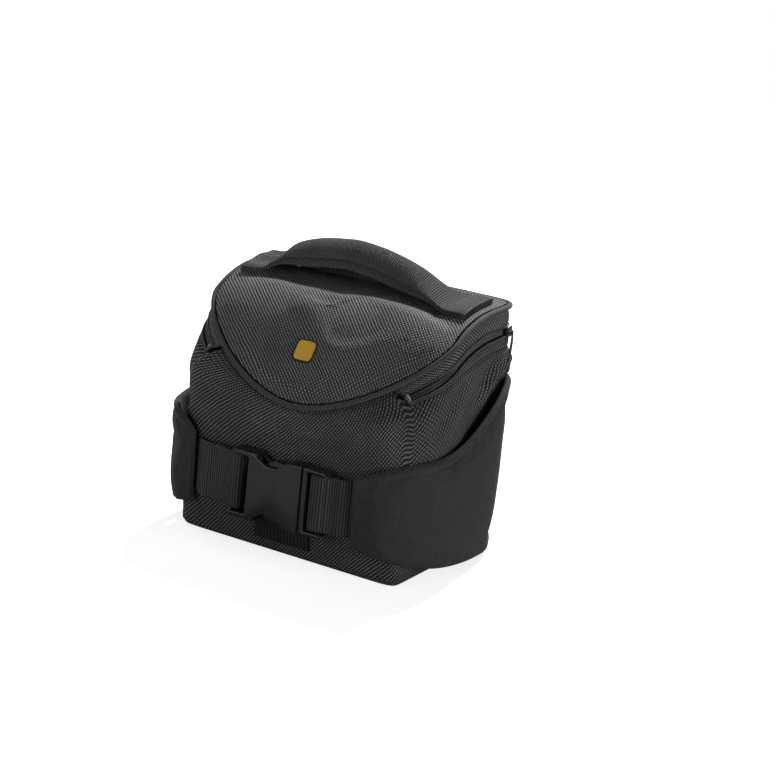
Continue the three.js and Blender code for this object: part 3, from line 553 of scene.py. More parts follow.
def effect(name, inputs, outputs):
    """An empty node group with named inputs and outputs"""
    tree = bpy.data.node_groups.new(name, "ShaderNodeTree")
    for label, default in inputs.items():
        kind = "NodeSocketVector" if default is None else "NodeSocketFloat"
        socket = tree.interface.new_socket(label, in_out="INPUT", socket_type=kind)
        if default is not None:
            socket.default_value = default
    for label in outputs:
        tree.interface.new_socket(label, in_out="OUTPUT", socket_type="NodeSocketFloat")
    net = Net(tree)
    given = net.put("NodeGroupInput", output=None).outputs
    result = net.put("NodeGroupOutput", output=None).inputs
    return net, given, result


def basket_weave():
    """Over and under threads of a plain weave. Thread: width of one thread in millimetres. Twill: how far the
    threads that lie on top run together into slanting rows."""
    net, given, result = effect(
        "basket weave", {"Cloth": None, "Thread": 1.0, "Twill": 0.0}, ("Height", "Warp", "Gap")
    )
    wobble = net.put("ShaderNodeTexNoise", {"Vector": given["Cloth"], "Scale": 0.12, "Detail": 2.0}, output=1)
    shaken = net.put("ShaderNodeVectorMath", {0: wobble, 1: (0.8, 0.8, 0)}, operation="MULTIPLY")
    moved = net.put("ShaderNodeVectorMath", {0: given["Cloth"], 1: shaken}, operation="ADD")
    u, v, _ = net.parts(moved)
    turns = [net.times(net.math("DIVIDE", axis, given["Thread"]), math.pi) for axis in (u, v)]
    waves = [net.math("SINE", turn) for turn in turns]
    plain = net.range(net.times(*waves), -0.1, 0.12)
    slant = net.range(net.math("COSINE", net.math("SUBTRACT", *turns)), -0.1, 0.75)
    over = net.fade(given["Twill"], plain, slant)
    ridge_u, ridge_v = (net.power(net.math("ABSOLUTE", wave), 0.5) for wave in waves)
    warp = net.times(ridge_u, net.power(ridge_v, 0.4))
    weft = net.times(net.times(ridge_v, net.power(ridge_u, 0.4)), 0.6)
    net.join(net.fade(over, weft, warp), result["Height"])
    net.join(over, result["Warp"])
    net.join(net.math("SUBTRACT", 1.0, net.math("MINIMUM", ridge_u, ridge_v)), result["Gap"])
    return net.tree


def webbing_weave():
    """Crosswise cords of webbing, each wrapped in small threads. Rib: pitch of the cords in millimetres."""
    net, given, result = effect(
        "webbing weave", {"Cloth": None, "Rib": 1.5, "Thread": 0.9}, ("Height", "Gap")
    )
    u, v, _ = net.parts(given["Cloth"])
    cord = net.math("DIVIDE", u, given["Rib"])
    row = net.math("FLOOR", cord)
    rib = net.math("ABSOLUTE", net.math("SINE", net.times(cord, math.pi)))
    shifted = net.plus(net.math("DIVIDE", v, given["Thread"]), net.times(row, 0.5))
    bead = net.math("ABSOLUTE", net.math("SINE", net.times(shifted, math.pi)))
    height = net.times(net.power(rib, 0.9), net.plus(0.35, net.times(net.power(bead, 0.8), 0.65)))
    net.join(height, result["Height"])
    net.join(net.math("SUBTRACT", 1.0, height), result["Gap"])
    return net.tree


def cloth_age():
    """Slow fading and fine dust. Fade and Dust are masks between 0 and 1."""
    net, given, result = effect("cloth age", {"Place": None, "Size": 30.0}, ("Fade", "Dust"))
    slow = net.noise(given["Place"], given["Size"], 3.0)
    fine = net.noise(given["Place"], net.times(given["Size"], 30.0), 2.0)
    net.join(net.range(slow, 0.3, 0.7), result["Fade"])
    net.join(net.times(net.range(fine, 0.58, 0.75), net.range(slow, 0.35, 0.7)), result["Dust"])
    return net.tree


def fine_grain():
    """Close, even grain of moulded plastic or knitted cloth"""
    net, given, result = effect("fine grain", {"Place": None, "Size": 900.0}, ("Height", "Tone"))
    grain = net.noise(given["Place"], given["Size"], 3.0, 0.6)
    broad = net.noise(given["Place"], net.times(given["Size"], 0.03), 3.0)
    net.join(grain, result["Height"])
    net.join(net.range(broad, 0.3, 0.7), result["Tone"])
    return net.tree


BASKET, WEBBING_WEAVE, AGE, GRAIN = basket_weave(), webbing_weave(), cloth_age(), fine_grain()


def grey(level, tint=(1.0, 1.005, 1.02)):
    return (level * tint[0], level * tint[1], level * tint[2], 1.0)


def new_material(name):
    material = bpy.data.materials.new(name)
    material.use_nodes = True
    tree = material.node_tree
    shader = next(node for node in tree.nodes if node.type == "BSDF_PRINCIPLED")
    net = Net(tree)
    cloth = net.put("ShaderNodeUVMap", uv_map="cloth")
    place = net.put("ShaderNodeTexCoord", output="Object")
    return material, net, shader, cloth, place


def bumped(net, shader, height, distance, strength=1.0):
    normal = net.put("ShaderNodeBump", {"Height": height, "Distance": distance, "Strength": strength})
    net.join(normal, shader.inputs["Normal"])


def sheened(shader, sheen, rough, gloss=None):
    """Plain values of cloth: its soft sheen, and its gloss where that isn't the usual one"""
    shader.inputs["Sheen Weight"].default_value = sheen
    if rough is not None:
        shader.inputs["Sheen Roughness"].default_value = rough
    if gloss is not None:
        shader.inputs["Specular IOR Level"].default_value = gloss


def faded(net, place, size, level):
    """Slow change between a darker and a lighter tone of one grey, with the dust that lies on it"""
    age = net.group(AGE, {"Place": place, "Size": size})
    return net.blend(age["Fade"], grey(level * 0.8), grey(level * 1.15)), age["Dust"]


THREAD_GLOSS = 0.16


def threads(net, shader, weave, depth, sheen):
    """Threads that are smoother on top than down in the weave"""
    net.join(net.range(weave["Height"], 0.0, 1.0, 0.8, 0.42), shader.inputs["Roughness"])
    bumped(net, shader, weave["Height"], depth * MM, 0.9)
    sheened(shader, sheen, 0.4, THREAD_GLOSS)


def woven_cloth(name, twill, thread, dark, light, sheen=0.04):
    """Ballistic nylon: warp threads painted light grey as a painted glint, over dark weft, with the gaps
    painted darker still as painted shade
    """
    material, net, shader, cloth, place = new_material(name)
    weave = net.group(BASKET, {"Cloth": cloth, "Thread": thread, "Twill": twill})
    tone, dust = faded(net, place, 22.0, light)
    # Painted glint: the warp threads on top are painted a far lighter grey than the weft under them
    warp = net.blend(weave["Warp"], grey(light * 0.12), tone)
    # Painted shade: the gaps between threads are painted near black
    gap_shaded = net.blend(net.range(weave["Gap"], 0.15, 0.8), warp, grey(dark))
    net.join(net.blend(net.times(dust, 0.2), gap_shaded, grey(light * 2.0)), shader.inputs["Base Color"])
    threads(net, shader, weave, 0.4, sheen)
    return material


def smooth_cloth(name, level, sheen=0.06):
    """Matt stretch cloth over padding: a close knit with a faint mottle"""
    material, net, shader, _, place = new_material(name)
    grain = net.group(GRAIN, {"Place": place, "Size": 1500.0})
    tone, dust = faded(net, place, 16.0, level)
    mottled = net.blend(net.range(grain["Height"], 0.35, 0.65), tone, grey(level * 1.9))
    net.join(net.blend(net.times(dust, 0.25), mottled, grey(level * 2.5)), shader.inputs["Base Color"])
    net.join(net.range(grain["Tone"], 0.0, 1.0, 0.72, 0.85), shader.inputs["Roughness"])
    bumped(net, shader, grain["Height"], 0.2 * MM, 0.7)
    sheened(shader, sheen, 0.5, 0.18)
    return material


def webbing_cloth(name, level, rib, thread=0.95):
    """Ribbed webbing: tight cords, with the valleys between them painted dark as painted shade"""
    material, net, shader, cloth, place = new_material(name)
    weave = net.group(WEBBING_WEAVE, {"Cloth": cloth, "Rib": rib, "Thread": thread})
    tone, _ = faded(net, place, 26.0, level)
    # Painted shade: the valleys between the cords are painted near black
    valley_shaded = net.blend(net.range(weave["Gap"], 0.15, 0.85), tone, grey(level * 0.08))
    net.join(valley_shaded, shader.inputs["Base Color"])
    threads(net, shader, weave, 0.35, 0.04)
    return material


def moulded_plastic(name, level, rough):
    material, net, shader, _, place = new_material(name)
    grain = net.group(GRAIN, {"Place": place, "Size": 1100.0})
    net.join(net.blend(grain["Tone"], grey(level * 0.9), grey(level * 1.1)), shader.inputs["Base Color"])
    net.join(net.range(grain["Tone"], 0.0, 1.0, rough - 0.04, rough + 0.06), shader.inputs["Roughness"])
    bumped(net, shader, grain["Height"], 0.05 * MM, 0.35)
    return material


def thread_finish(name, level):
    material, net, shader, _, place = new_material(name)
    grain = net.group(GRAIN, {"Place": place, "Size": 2500.0})
    net.join(net.blend(grain["Tone"], grey(level * 0.8), grey(level * 1.2)), shader.inputs["Base Color"])
    shader.inputs["Roughness"].default_value = 0.5
    sheened(shader, 0.3, None)
    bumped(net, shader, grain["Height"], 0.1 * MM, 0.5)
    return material


def badge_cloth():
    """Plain golden patch of fine weave with a dark sewn border"""
    material, net, shader, cloth, _ = new_material("badge golden weave")
    weave = net.group(BASKET, {"Cloth": cloth, "Thread": 0.4})
    gold = net.blend(weave["Warp"], (0.66, 0.38, 0.03, 1), (0.88, 0.56, 0.07, 1))
    # Painted shade: the gaps between threads are painted towards a dark brown
    gap_shaded_gold = net.blend(net.times(weave["Gap"], 0.5), gold, (0.25, 0.12, 0.01, 1))
    u, v, _ = net.parts(cloth)
    share_of = lambda way, size: net.math("DIVIDE", net.math("ABSOLUTE", way), size / 2)
    reach = net.math("MAXIMUM", share_of(u, BADGE_WIDTH), share_of(v, BADGE_HEIGHT))
    net.join(net.blend(net.range(reach, 0.76, 0.8), gap_shaded_gold, grey(0.012)), shader.inputs["Base Color"])
    shader.inputs["Roughness"].default_value = 0.55
    shader.inputs["Specular IOR Level"].default_value = 0.3
    bumped(net, shader, weave["Height"], 0.1 * MM, 0.6)
    return material


BODY_CLOTH = woven_cloth("body ballistic weave", 0.8, 1.3, 0.0006, 0.2)
# Painted light: the lid's weave is the body's with its warp painted lighter, 0.28 against 0.2, for the
# stronger light on the bag's top; the upper zip band wears it too
LID_CLOTH = woven_cloth("lid ballistic weave", 0.8, 1.35, 0.0006, 0.28)
WING_CLOTH = smooth_cloth("wing stretch cloth", 0.024)
PIPING_CLOTH = smooth_cloth("piping cloth", 0.034, 0.2)
STRAP_CLOTH = webbing_cloth("belt webbing", 0.075, STRAP_RIB)
HANDLE_CLOTH = webbing_cloth("grip webbing", 0.1, HANDLE_RIB)
LOOP_CLOTH = webbing_cloth("front patch webbing", 0.03, LOOP_RIB, 1.1)
BUCKLE_PLASTIC = moulded_plastic("buckle plastic", 0.013, 0.26)
COIL_PLASTIC = moulded_plastic("zip coil nylon", 0.016, 0.38)
MOUNT_PLASTIC = moulded_plastic("bracket plastic", 0.013, 0.45)
THREAD = thread_finish("sewing thread", 0.035)
PALE_THREAD = thread_finish("bar stitch thread", 0.1)
PULL_FINISH = thread_finish("pull cord rubber", 0.02)
STOP_FINISH = moulded_plastic("stop lacquer", 0.22, 0.3)
WELT_FINISH = moulded_plastic("welt coated cloth", 0.06, 0.3)
BADGE_CLOTH = badge_cloth()


# Folds: distance round the body and height at each end, or x and y on the lid, then width and stand-off
BODY_FOLDS = (
    (94, 112, 124, 88, 40, 3.2),
    (131, 133, 105, 104, 11, -2.6),
    (191, 139, 158, 116, 12, 3.2),
    (169, 137, 152, 116, 10, -2.8),
    (148, 137, 124, 108, 10, 1.6),
    (80, 117, 82, 90, 13, -2.4),
    (66, 108, 60, 84, 24, 1.4),
    (505, 106, 529, 98, 14, -1.3),
    (484, 112, 505, 72, 26, 1.6),
    (9, 88, 52, 101, 24, 1.2),
)
LID_FOLDS = (
    (58, -18, 44, -16, 30, 2.0),
    (66, -6, 80, -10, 8, -1.2),
    (-70, -2, -50, -8, 12, 0.8),
    (0, -46, -30, -40, 40, 0.8),
)
HAND_DIP = 5.0
LID_GIVE = 2.5  # how far the lid has sunk where the grip's back flap touches it


def fold_relief(u, v, folds):
    """How far the cloth stands out where folds run from (u0, v0) to (u1, v1)"""
    relief = 0
    for u0, v0, u1, v1, width, stand in folds:
        way = np.array([u1 - u0, v1 - v0], float)
        share = np.clip(((u - u0) * way[0] + (v - v0) * way[1]) / (way @ way), 0, 1)
        off = np.hypot(u - u0 - share * way[0], v - v0 - share * way[1])
        relief = relief + stand * bump(off, 0, width)
    return relief


def hand_dip(x, y):
    """The lid sags under the grip, where the hand goes in"""
    dip = ease(y, -16, 4) * (1 - ease(y, 42, 54)) * (1 - ease(np.abs(x), 60, 84))
    return HAND_DIP * dip


def lid_top(x, y):
    """Height of the lid's upper face, dip and all"""
    return lid_at(x, y)[..., 2] + LID_THICK / 2 - hand_dip(x, y)


def along_smoothed(points, run, reach):
    """Points of a sheet softened along its length, with its two ends kept"""
    step = run[1] - run[0]
    count = int(3 * reach / step)
    at = np.arange(-count, count + 1)
    weight = np.exp(-0.5 * (at * step / reach) ** 2)
    weight /= weight.sum()
    low = 2 * points[:1] - points[1 : count + 1][::-1]
    high = 2 * points[-1:] - points[-count - 1 : -1][::-1]
    padded = np.concatenate([low, points, high])
    soft = sum(w * padded[k : k + len(points)] for k, w in enumerate(weight))
    kept = ease(np.minimum(run, run[-1] - run), 0, 2 * reach)[:, None, None]
    return mix(points, soft, kept)


# Body
def body_run(turns):
    """Distance round the body from the nose's middle, to the right"""
    x, y = body_plan(turns, np.full_like(turns, 0.6))
    steps = np.hypot(np.diff(np.r_[x, x[:1]]), np.diff(np.r_[y, y[:1]]))
    return np.r_[0, np.cumsum(steps)]


def make_body():
    # Rows stand closer at the base and at the top seam
    ups = np.r_[np.linspace(0.0, 0.03, 7), np.linspace(0.04, 0.97, 96), np.linspace(0.976, 1.0, 6)]
    turn, up = np.meshgrid(ROUND, ups)
    top = body_top(turn)
    z = up * top
    side = body_at(turn, z)
    out = body_out(turn, z)
    run = body_run(ROUND)
    u = np.broadcast_to(run[:-1], turn.shape)
    # Waves and folds fade out at the base and the top seam, and under the belt they only go inwards
    held = ease(z, 1, 14) * (1 - ease(z, top - 9, top - 1))
    waves = 0.9 * soft_noise(u, z, 34, 3) + 0.45 * soft_noise(u, z, 15, 4)
    folds = fold_relief(u, z, BODY_FOLDS)
    fold = -1.4 * ease(z, top - 3.2, top) ** 2
    relief = (waves + folds) * held
    belt = ease(nose_turn(turn), 30, 42) * ease(z, 2, 8) * (1 - ease(z, 66, 84))
    relief = mix(relief, np.minimum(relief, 0), belt)
    side = side + out * (relief + fold)[..., None]
    # Sewn or stiffened at the base, the top seam and the belt, and free to swell between them
    firm = 1 - ease(z, 4, 22) * (1 - ease(z, top - 22, top - 4)) * (1 - belt)
    side = side + settled(side, firm, "body", loop=True)
    # Over the lip, down the inner wall and across the floor, then the underside from its middle outwards
    inner_z = mix(WALL, top[0] - 0.2, np.linspace(1, 0, 30)[:, None])
    inner_turn = np.broadcast_to(ROUND, inner_z.shape)
    inside = body_at(inner_turn, inner_z, WALL)
    lip = (side[-1] + inside[0]) / 2 + np.array([0, 0, 0.5])
    shrink = np.linspace(0.985, 0.004, 22)[:, None, None]
    centre = np.array([0, (BACK_Y + FRONT_Y) / 2, 0])
    foot = (side[0] - centre) * shrink[::-1] + centre
    floor = (inside[-1] - centre - np.array([0, 0, WALL])) * shrink + centre + np.array([0, 0, WALL])
    rows = np.vstack([foot, side, lip[None], inside, floor])
    cloth = lengths_of_cloth(run_along(rows[:, 0]), run)[..., ::-1].copy()
    cloth[: len(foot)] = np.concatenate([foot, foot[:, :1]], axis=1)[..., :2]
    body = woven_grid("bag_body", rows, cloth, loop_columns=True, caps=True)
    finish_piece(body, BODY_CLOTH, "woven_cloth", "body_shell")


# Lid
def lid_run(y):
    """Distance over the lid from its back edge towards its nose"""
    table = np.linspace(BACK_Y, NOSE_Y, 400)
    steps = np.hypot(np.diff(table), np.diff(lid_height(0 * table, table)))
    return np.interp(-y, -table, np.r_[0, np.cumsum(steps)])


def make_lid():
    shares = np.r_[0.004, np.linspace(0.03, 0.96, 62), np.linspace(0.97, 1.0, 5)]
    x_rim, y_rim, z_rim = rim_at(ROUND)
    seam = PIPING_R + 3 * CLEARANCE
    near = lid_at(0.96 * x_rim, mix(WIDEST_Y, y_rim, 0.96))
    seat = 1 - 0.04 * seam / np.linalg.norm(np.stack([x_rim, y_rim, z_rim], axis=-1) - near, axis=-1)

    def ring(share, offset):
        s = share * seat
        return lid_at(s * x_rim, mix(WIDEST_Y, y_rim, s), np.broadcast_to(offset, s.shape))

    top = np.array([ring(share, LID_THICK / 2) for share in shares])
    u, v = top[..., 0], lid_run(top[..., 1])
    out = grid_out(top, True)
    out *= np.sign(out[..., 2:3])
    free = ease(shares, 1.0, 0.86)[:, None]
    waves = 0.5 * soft_noise(u + 200, v + 200, 40, 11) + 0.25 * soft_noise(u + 200, v + 200, 17, 12)
    folds = fold_relief(top[..., 0], top[..., 1], LID_FOLDS)
    top = top + out * ((waves + folds) * free)[..., None]
    top[..., 2] -= hand_dip(top[..., 0], top[..., 1]) * free
    # Sewn down at the edge and under the grip's two ends
    feet = bump(np.abs(top[..., 0]), 80, 30) * bump(top[..., 1], HANDLE_Y, 46)
    firm = np.maximum(1 - free, feet) + 0 * u
    top = top + settled(top, firm, "lid", loop=True)
    turns = np.linspace(0.4, 2.7, 5)
    edge = np.array([ring(1.0 + 0.004 * math.sin(a), LID_THICK / 2 * math.cos(a)) for a in turns])
    under = np.array([ring(share, -LID_THICK / 2) for share in np.linspace(1, 0.004, 24)])
    under[..., 2] -= hand_dip(under[..., 0], under[..., 1])
    rows = np.vstack([top, edge, under])
    closed = np.concatenate([rows, rows[:, :1]], axis=1)
    cloth = np.stack([closed[..., 0], lid_run(closed[..., 1])], axis=-1)
    lid = woven_grid("bag_lid", rows, cloth, loop_columns=True, caps=True)
    finish_piece(lid, LID_CLOTH, "woven_cloth", "lid")


# Piping
def make_piping():
    """A closed tube along the lid's edge"""
    run = np.arange(ROUND_COUNT) * ROUND_LENGTH / ROUND_COUNT
    radius = (PIPING_R - 0.25) * (1 + 0.05 * soft_noise(run, 0 * run, 9, 21))
    centre = np.stack(rim_at(ROUND), axis=-1)
    along = unit(np.roll(centre, -1, axis=0) - np.roll(centre, 1, axis=0))
    out = unit(np.cross(along, np.array([0.0, 0.0, 1.0])))
    sides = 14
    points = centre[:, None] + radius[:, None, None] * circles(out, np.cross(out, along), sides)
    run = np.linspace(0, ROUND_LENGTH, ROUND_COUNT + 1)
    cloth = lengths_of_cloth(run, np.linspace(0, 2 * math.pi * PIPING_R, sides + 1))
    piping = woven_grid("lid_edge_piping", points, cloth, loop_rows=True, loop_columns=True)
    return finish_piece(piping, PIPING_CLOTH, "smooth_cloth", "lid_piping")


# Zipped gusset
def tube(name, path, radius, sides=10):
    """A round cord along a path of points"""
    along = unit(np.gradient(path, axis=0))
    side = unit(np.cross(along, np.array([0.31, 0.13, 0.94])))
    points = path[:, None] + circles(side, np.cross(along, side), sides) * radius
    cloth = lengths_of_cloth(run_along(path), np.linspace(0, 2 * math.pi * radius, sides + 1))
    return woven_grid(name, points, cloth, loop_columns=True, caps=True)


def gusset_strip(name, count, profile, material, slot, node):
    """A closed strip along the zip. profile gives rows of (share of the gusset, stand-off) for the turns."""
    turns, length = even_turns(ZIP_START, ZIP_STOP, count)
    out = gusset_out(turns)
    run = np.linspace(0, length, count)
    outline = profile(turns, run)
    points = np.stack([gusset_at(turns, share) + out * stand[:, None] for share, stand in outline], axis=1)
    across = run_along(points[count // 2])
    cloth = lengths_of_cloth(run, np.r_[across, across[-1] + 1])
    strip = woven_grid(name, points, cloth, loop_columns=True, caps=True)
    return finish_piece(strip, material, slot, node)


def tape_profile(low, high, puff):
    """Rounded band between two shares, with a stitched fold beside each edge"""

    def profile(turns, run):
        start, stop = low(turns), high(turns)
        rows = []
        across = np.linspace(0, 1, 17)
        for t in across:
            crown = puff * math.sin(math.pi * t) ** 0.5
            groove = 0.35 * (bump(t, 0.16, 0.07) + bump(t, 0.84, 0.07))
            sway = 0.22 * soft_noise(run, 0 * run + 40 * t, 16, 31) * math.sin(math.pi * t)
            rows.append((mix(start, stop, t), TAPE_THICK / 2 - 0.5 + crown - groove + sway))
        for t in across[::-2]:
            rows.append((mix(start, stop, t), 0 * run - TAPE_THICK / 2))
        return rows

    return profile


TOOTH_PITCH = 1.7


def coil_profile(turns, run):
    """Teeth of the coil: close ribs across it, with a valley down the middle"""
    gap = 1 - np.abs(np.sin(math.pi * run / TOOTH_PITCH)) ** 0.7
    stop = coil_to(turns)
    rows = []
    for t in np.linspace(0.02, 0.98, 15):
        dome = COIL_THICK / 2 * math.sin(math.pi * t) ** 0.55
        valley = 0.45 * bump(t, 0.5, 0.14)
        depth = gap * 0.65 * math.sin(math.pi * t) ** 0.3
        rows.append((mix(COIL_FROM, stop, t), dome - 0.6 - valley - depth))
    for t in (0.95, 0.65, 0.35, 0.05):
        rows.append((mix(COIL_FROM, stop, t), 0 * run - COIL_THICK / 2 + 0.4))
    return rows


def make_gusset():
    seam = lambda turns: 2 * CLEARANCE / np.linalg.norm(gusset_at(turns, 1) - gusset_at(turns, 0), axis=-1)
    upper_band = tape_profile(lambda t: 0 * t, lambda t: COIL_FROM - seam(t) * 0.5, 0.9)
    lower_band = tape_profile(lambda t: coil_to(t) + seam(t) * 0.5, lambda t: 0 * t + 1, 0.8)
    gusset_strip("gusset_upper_band", 420, upper_band, LID_CLOTH, "woven_cloth", "zip_tape_upper")
    gusset_strip("zip_teeth", 1500, coil_profile, COIL_PLASTIC, "plastic", "zip_coil")
    gusset_strip("gusset_lower_band", 420, lower_band, BODY_CLOTH, "woven_cloth", "zip_tape_lower")
    # The folded edges beside the coil are bound with a thin shiny welt, which turns round the zip's ends
    turns, _ = even_turns(ZIP_START, ZIP_STOP, 500)
    upper, lower = COIL_FROM - 0.6 * seam(turns), coil_to(turns) + 0.6 * seam(turns)
    ends = ((upper[-1], lower[-1]), (lower[0], upper[0]))
    down, up = (mix(a, b, np.linspace(0, 1, 14)[1:]) for a, b in ends)
    share = np.r_[upper, down[:-1], lower[::-1], up]
    turns = np.r_[turns, np.full(12, turns[-1]), turns[::-1], np.full(13, turns[0])]
    welt = gusset_at(turns, share) + gusset_out(turns) * (TAPE_THICK / 2 + 0.25)
    finish_piece(tube("zip_welt", welt, 0.5, 8), WELT_FINISH, "smooth_cloth")


# Zip sliders with their pulls, and the zip's two ends
def stand_at(place, *axes):
    return Matrix.Translation(Vector(place * MM + SHIFT)) @ Matrix(axes).transposed().to_4x4()


def coil_seat(degrees, lift):
    """Directions out of the bag, along the coil and down across it, and a place over the coil's middle"""
    turn = np.radians(np.array([float(degrees)]))
    share = (COIL_FROM + coil_to(turn)) / 2
    out = gusset_out(turn)[0]
    run = (gusset_at(turn + 0.01, share) - gusset_at(turn - 0.01, share))[0]
    down = unit(np.cross(out, run))
    return out, np.cross(down, out), down, gusset_at(turn, share)[0] + out * (COIL_THICK / 2 + lift)


def make_slider(number, degrees):
    out, along, down, seat = coil_seat(degrees, CLEARANCE + SLIDER_LIFT)
    half, wide = SLIDER_LENGTH / 2, SLIDER_WIDTH / 2
    plate_thick, bridge_thick = 0.55 * SLIDER_THICK, 0.6 * SLIDER_THICK
    taper = [(-half, 0.6 * wide), (-0.35 * half, wide), (half, wide)]
    wedge = [(x, -y) for x, y in taper] + taper[::-1]
    plate = moulding("slider_plate", [rounded(wedge, 1.3)], 0, plate_thick, 0.45,
                     stand=stand_at(seat + out * plate_thick / 2, along, down, out))
    arch = box_outline(-0.7 * half, 0.7 * half, -1.1, 1.1, 0.9)
    bridge = moulding("slider_bridge", [arch], 0, bridge_thick, 0.5,
                      stand=stand_at(seat + out * (plate_thick + bridge_thick / 2 - 0.2), along, down, out))
    slider = shade(join(f"zip_slider_body_{number}", [plate, bridge]))
    finish_piece(slider, BUCKLE_PLASTIC, "plastic", f"zip_slider_{number}")
    up = np.array([0, 0, 1.0])
    level = unit(along * (1, 1, 0))
    top = seat + out * (SLIDER_THICK + CLEARANCE + PULL_CORD)
    tab_wide, tab_tall = PULL_TAB
    fall = PULL_LENGTH - tab_tall
    strands = []
    for way in (-1, 1):
        t = np.linspace(0, 1, 40)[:, None]
        sway = way * 1.05 * np.sin(math.pi * t * 0.8) ** 0.6 + 0.25 * np.sin(7 * t)
        path = top + level * sway - up * (t * (fall + 3) - 1.5) + out * 0.3 * np.sin(math.pi * t)
        strands.append(tube("pull_cord", path, PULL_CORD))
    middle = top - up * (fall + tab_tall / 2)
    face = unit(np.cross(level, up))
    oval = [(tab_wide / 2 * math.cos(a) * (1 + 0.12 * math.sin(a)), tab_tall / 2 * math.sin(a))
            for a in np.linspace(0, 2 * math.pi, 40, endpoint=False)]
    tab = moulding("pull_tab", [oval], 0, 1.9, 0.8, stand=stand_at(middle, level, up, face))
    pull = shade(join(f"zip_pull_cord_{number}", strands + [tab]), 50)
    finish_piece(pull, PULL_FINISH, "webbing", f"zip_pull_{number}")


def make_zip_ends():
    """A bar of close stitches across each end of the zip, and a small stop on the coil"""
    bars, stops = [], []
    for turn, way in ((ZIP_START, 1), (ZIP_STOP, -1)):
        for back in (1.2, 1.9, 2.6):
            at = np.radians(np.full(9, turn + way * back * 0.55))
            share = np.linspace(0.16, 0.97, 9)
            bars.append(gusset_at(at, share) + gusset_out(at) * (TAPE_THICK / 2 + 1.35))
        out, along, down, place = coil_seat(turn + way * 4.5, 0.35)
        stops.append(moulding("zip_stop", [box_outline(-1.1, 1.1, -2.6, 2.6, 0.7)], 0, 1.5, 0.5,
                              stand=stand_at(place, along, down, out)))
    sew("zip_end_stitches", bars, 0.8, 0.42, PALE_THREAD)
    finish_piece(shade(join("zip_stops", stops)), STOP_FINISH, "plastic")


# Belt wings
WING_ROWS = (  # turn, top, bottom, right, left, flare
    (52, 0.72, 0.03, 0.1, 0, 0.6),
    (45, 0.75, 0.016, 0.35, 0.15, 1.3),
    (38, 0.71, 0.014, 0.6, 0.5, 1.15),
    (20, 0.585, 0.022, 1, 0.9, 0.85),
    (0, 0.515, 0.038, 0.9, 1, 0.45),
    (-20, 0.495, 0.058, 0.45, 1, 0.3),
    (-36, 0.49, 0.08, 0.2, 0.9, 0.15),
    (-45, 0.47, 0.098, 0.2, 0.75, 0),
)
WING_FRONT = ((0.5, 0.44, 0.112, 0.35), (1, 0.4, 0.122, 0))  # way, top, bottom, least stand
WING_BELLY = (0.75, 1.15)


def wing_sheet(side):
    """Places on one wing: from (share along, share up, depth through it) to a point"""
    right = side == "right"
    corner = WING_ROWS[-1][0]
    tuck = (WEBBING_THICK + 2 * CLEARANCE) / WING_STAND
    reach = WING_REACH[side] * (1 if right else -1)
    last = float(front_turn(WING_REACH[side], BELT_Z))
    rows = [(turn, top, bottom, r if right else l, flare) for turn, top, bottom, r, l, flare in WING_ROWS]
    for way, top, bottom, least in WING_FRONT:
        rows.append((mix(corner, last, way), top, bottom, max(tuck, least), 0))
    count = 400
    smooth = through(np.array(rows), count)

    def at(along, up, depth):
        shares = np.linspace(0, 1, count)
        turn, top, bottom, stand, flare = (np.interp(along, shares, smooth[:, k]) for k in range(5))
        z = mix(bottom * BACK_HEIGHT, top * BACK_HEIGHT, up)
        end = np.clip((turn - corner) / (last - corner), 0, 1)
        lean = end * (front_turn(np.abs(reach), z) - last)
        angle = np.radians(turn + lean) if right else np.radians(180 - turn - lean)
        share = np.maximum(0, stand) * mix(WING_BELLY[0], WING_BELLY[1], up)
        belly = (share + np.maximum(0, flare) * (1 - up)) * WING_STAND
        point = body_at(angle, z)
        return point + body_out(angle, z) * (CLEARANCE + belly + depth)[..., None]

    return at


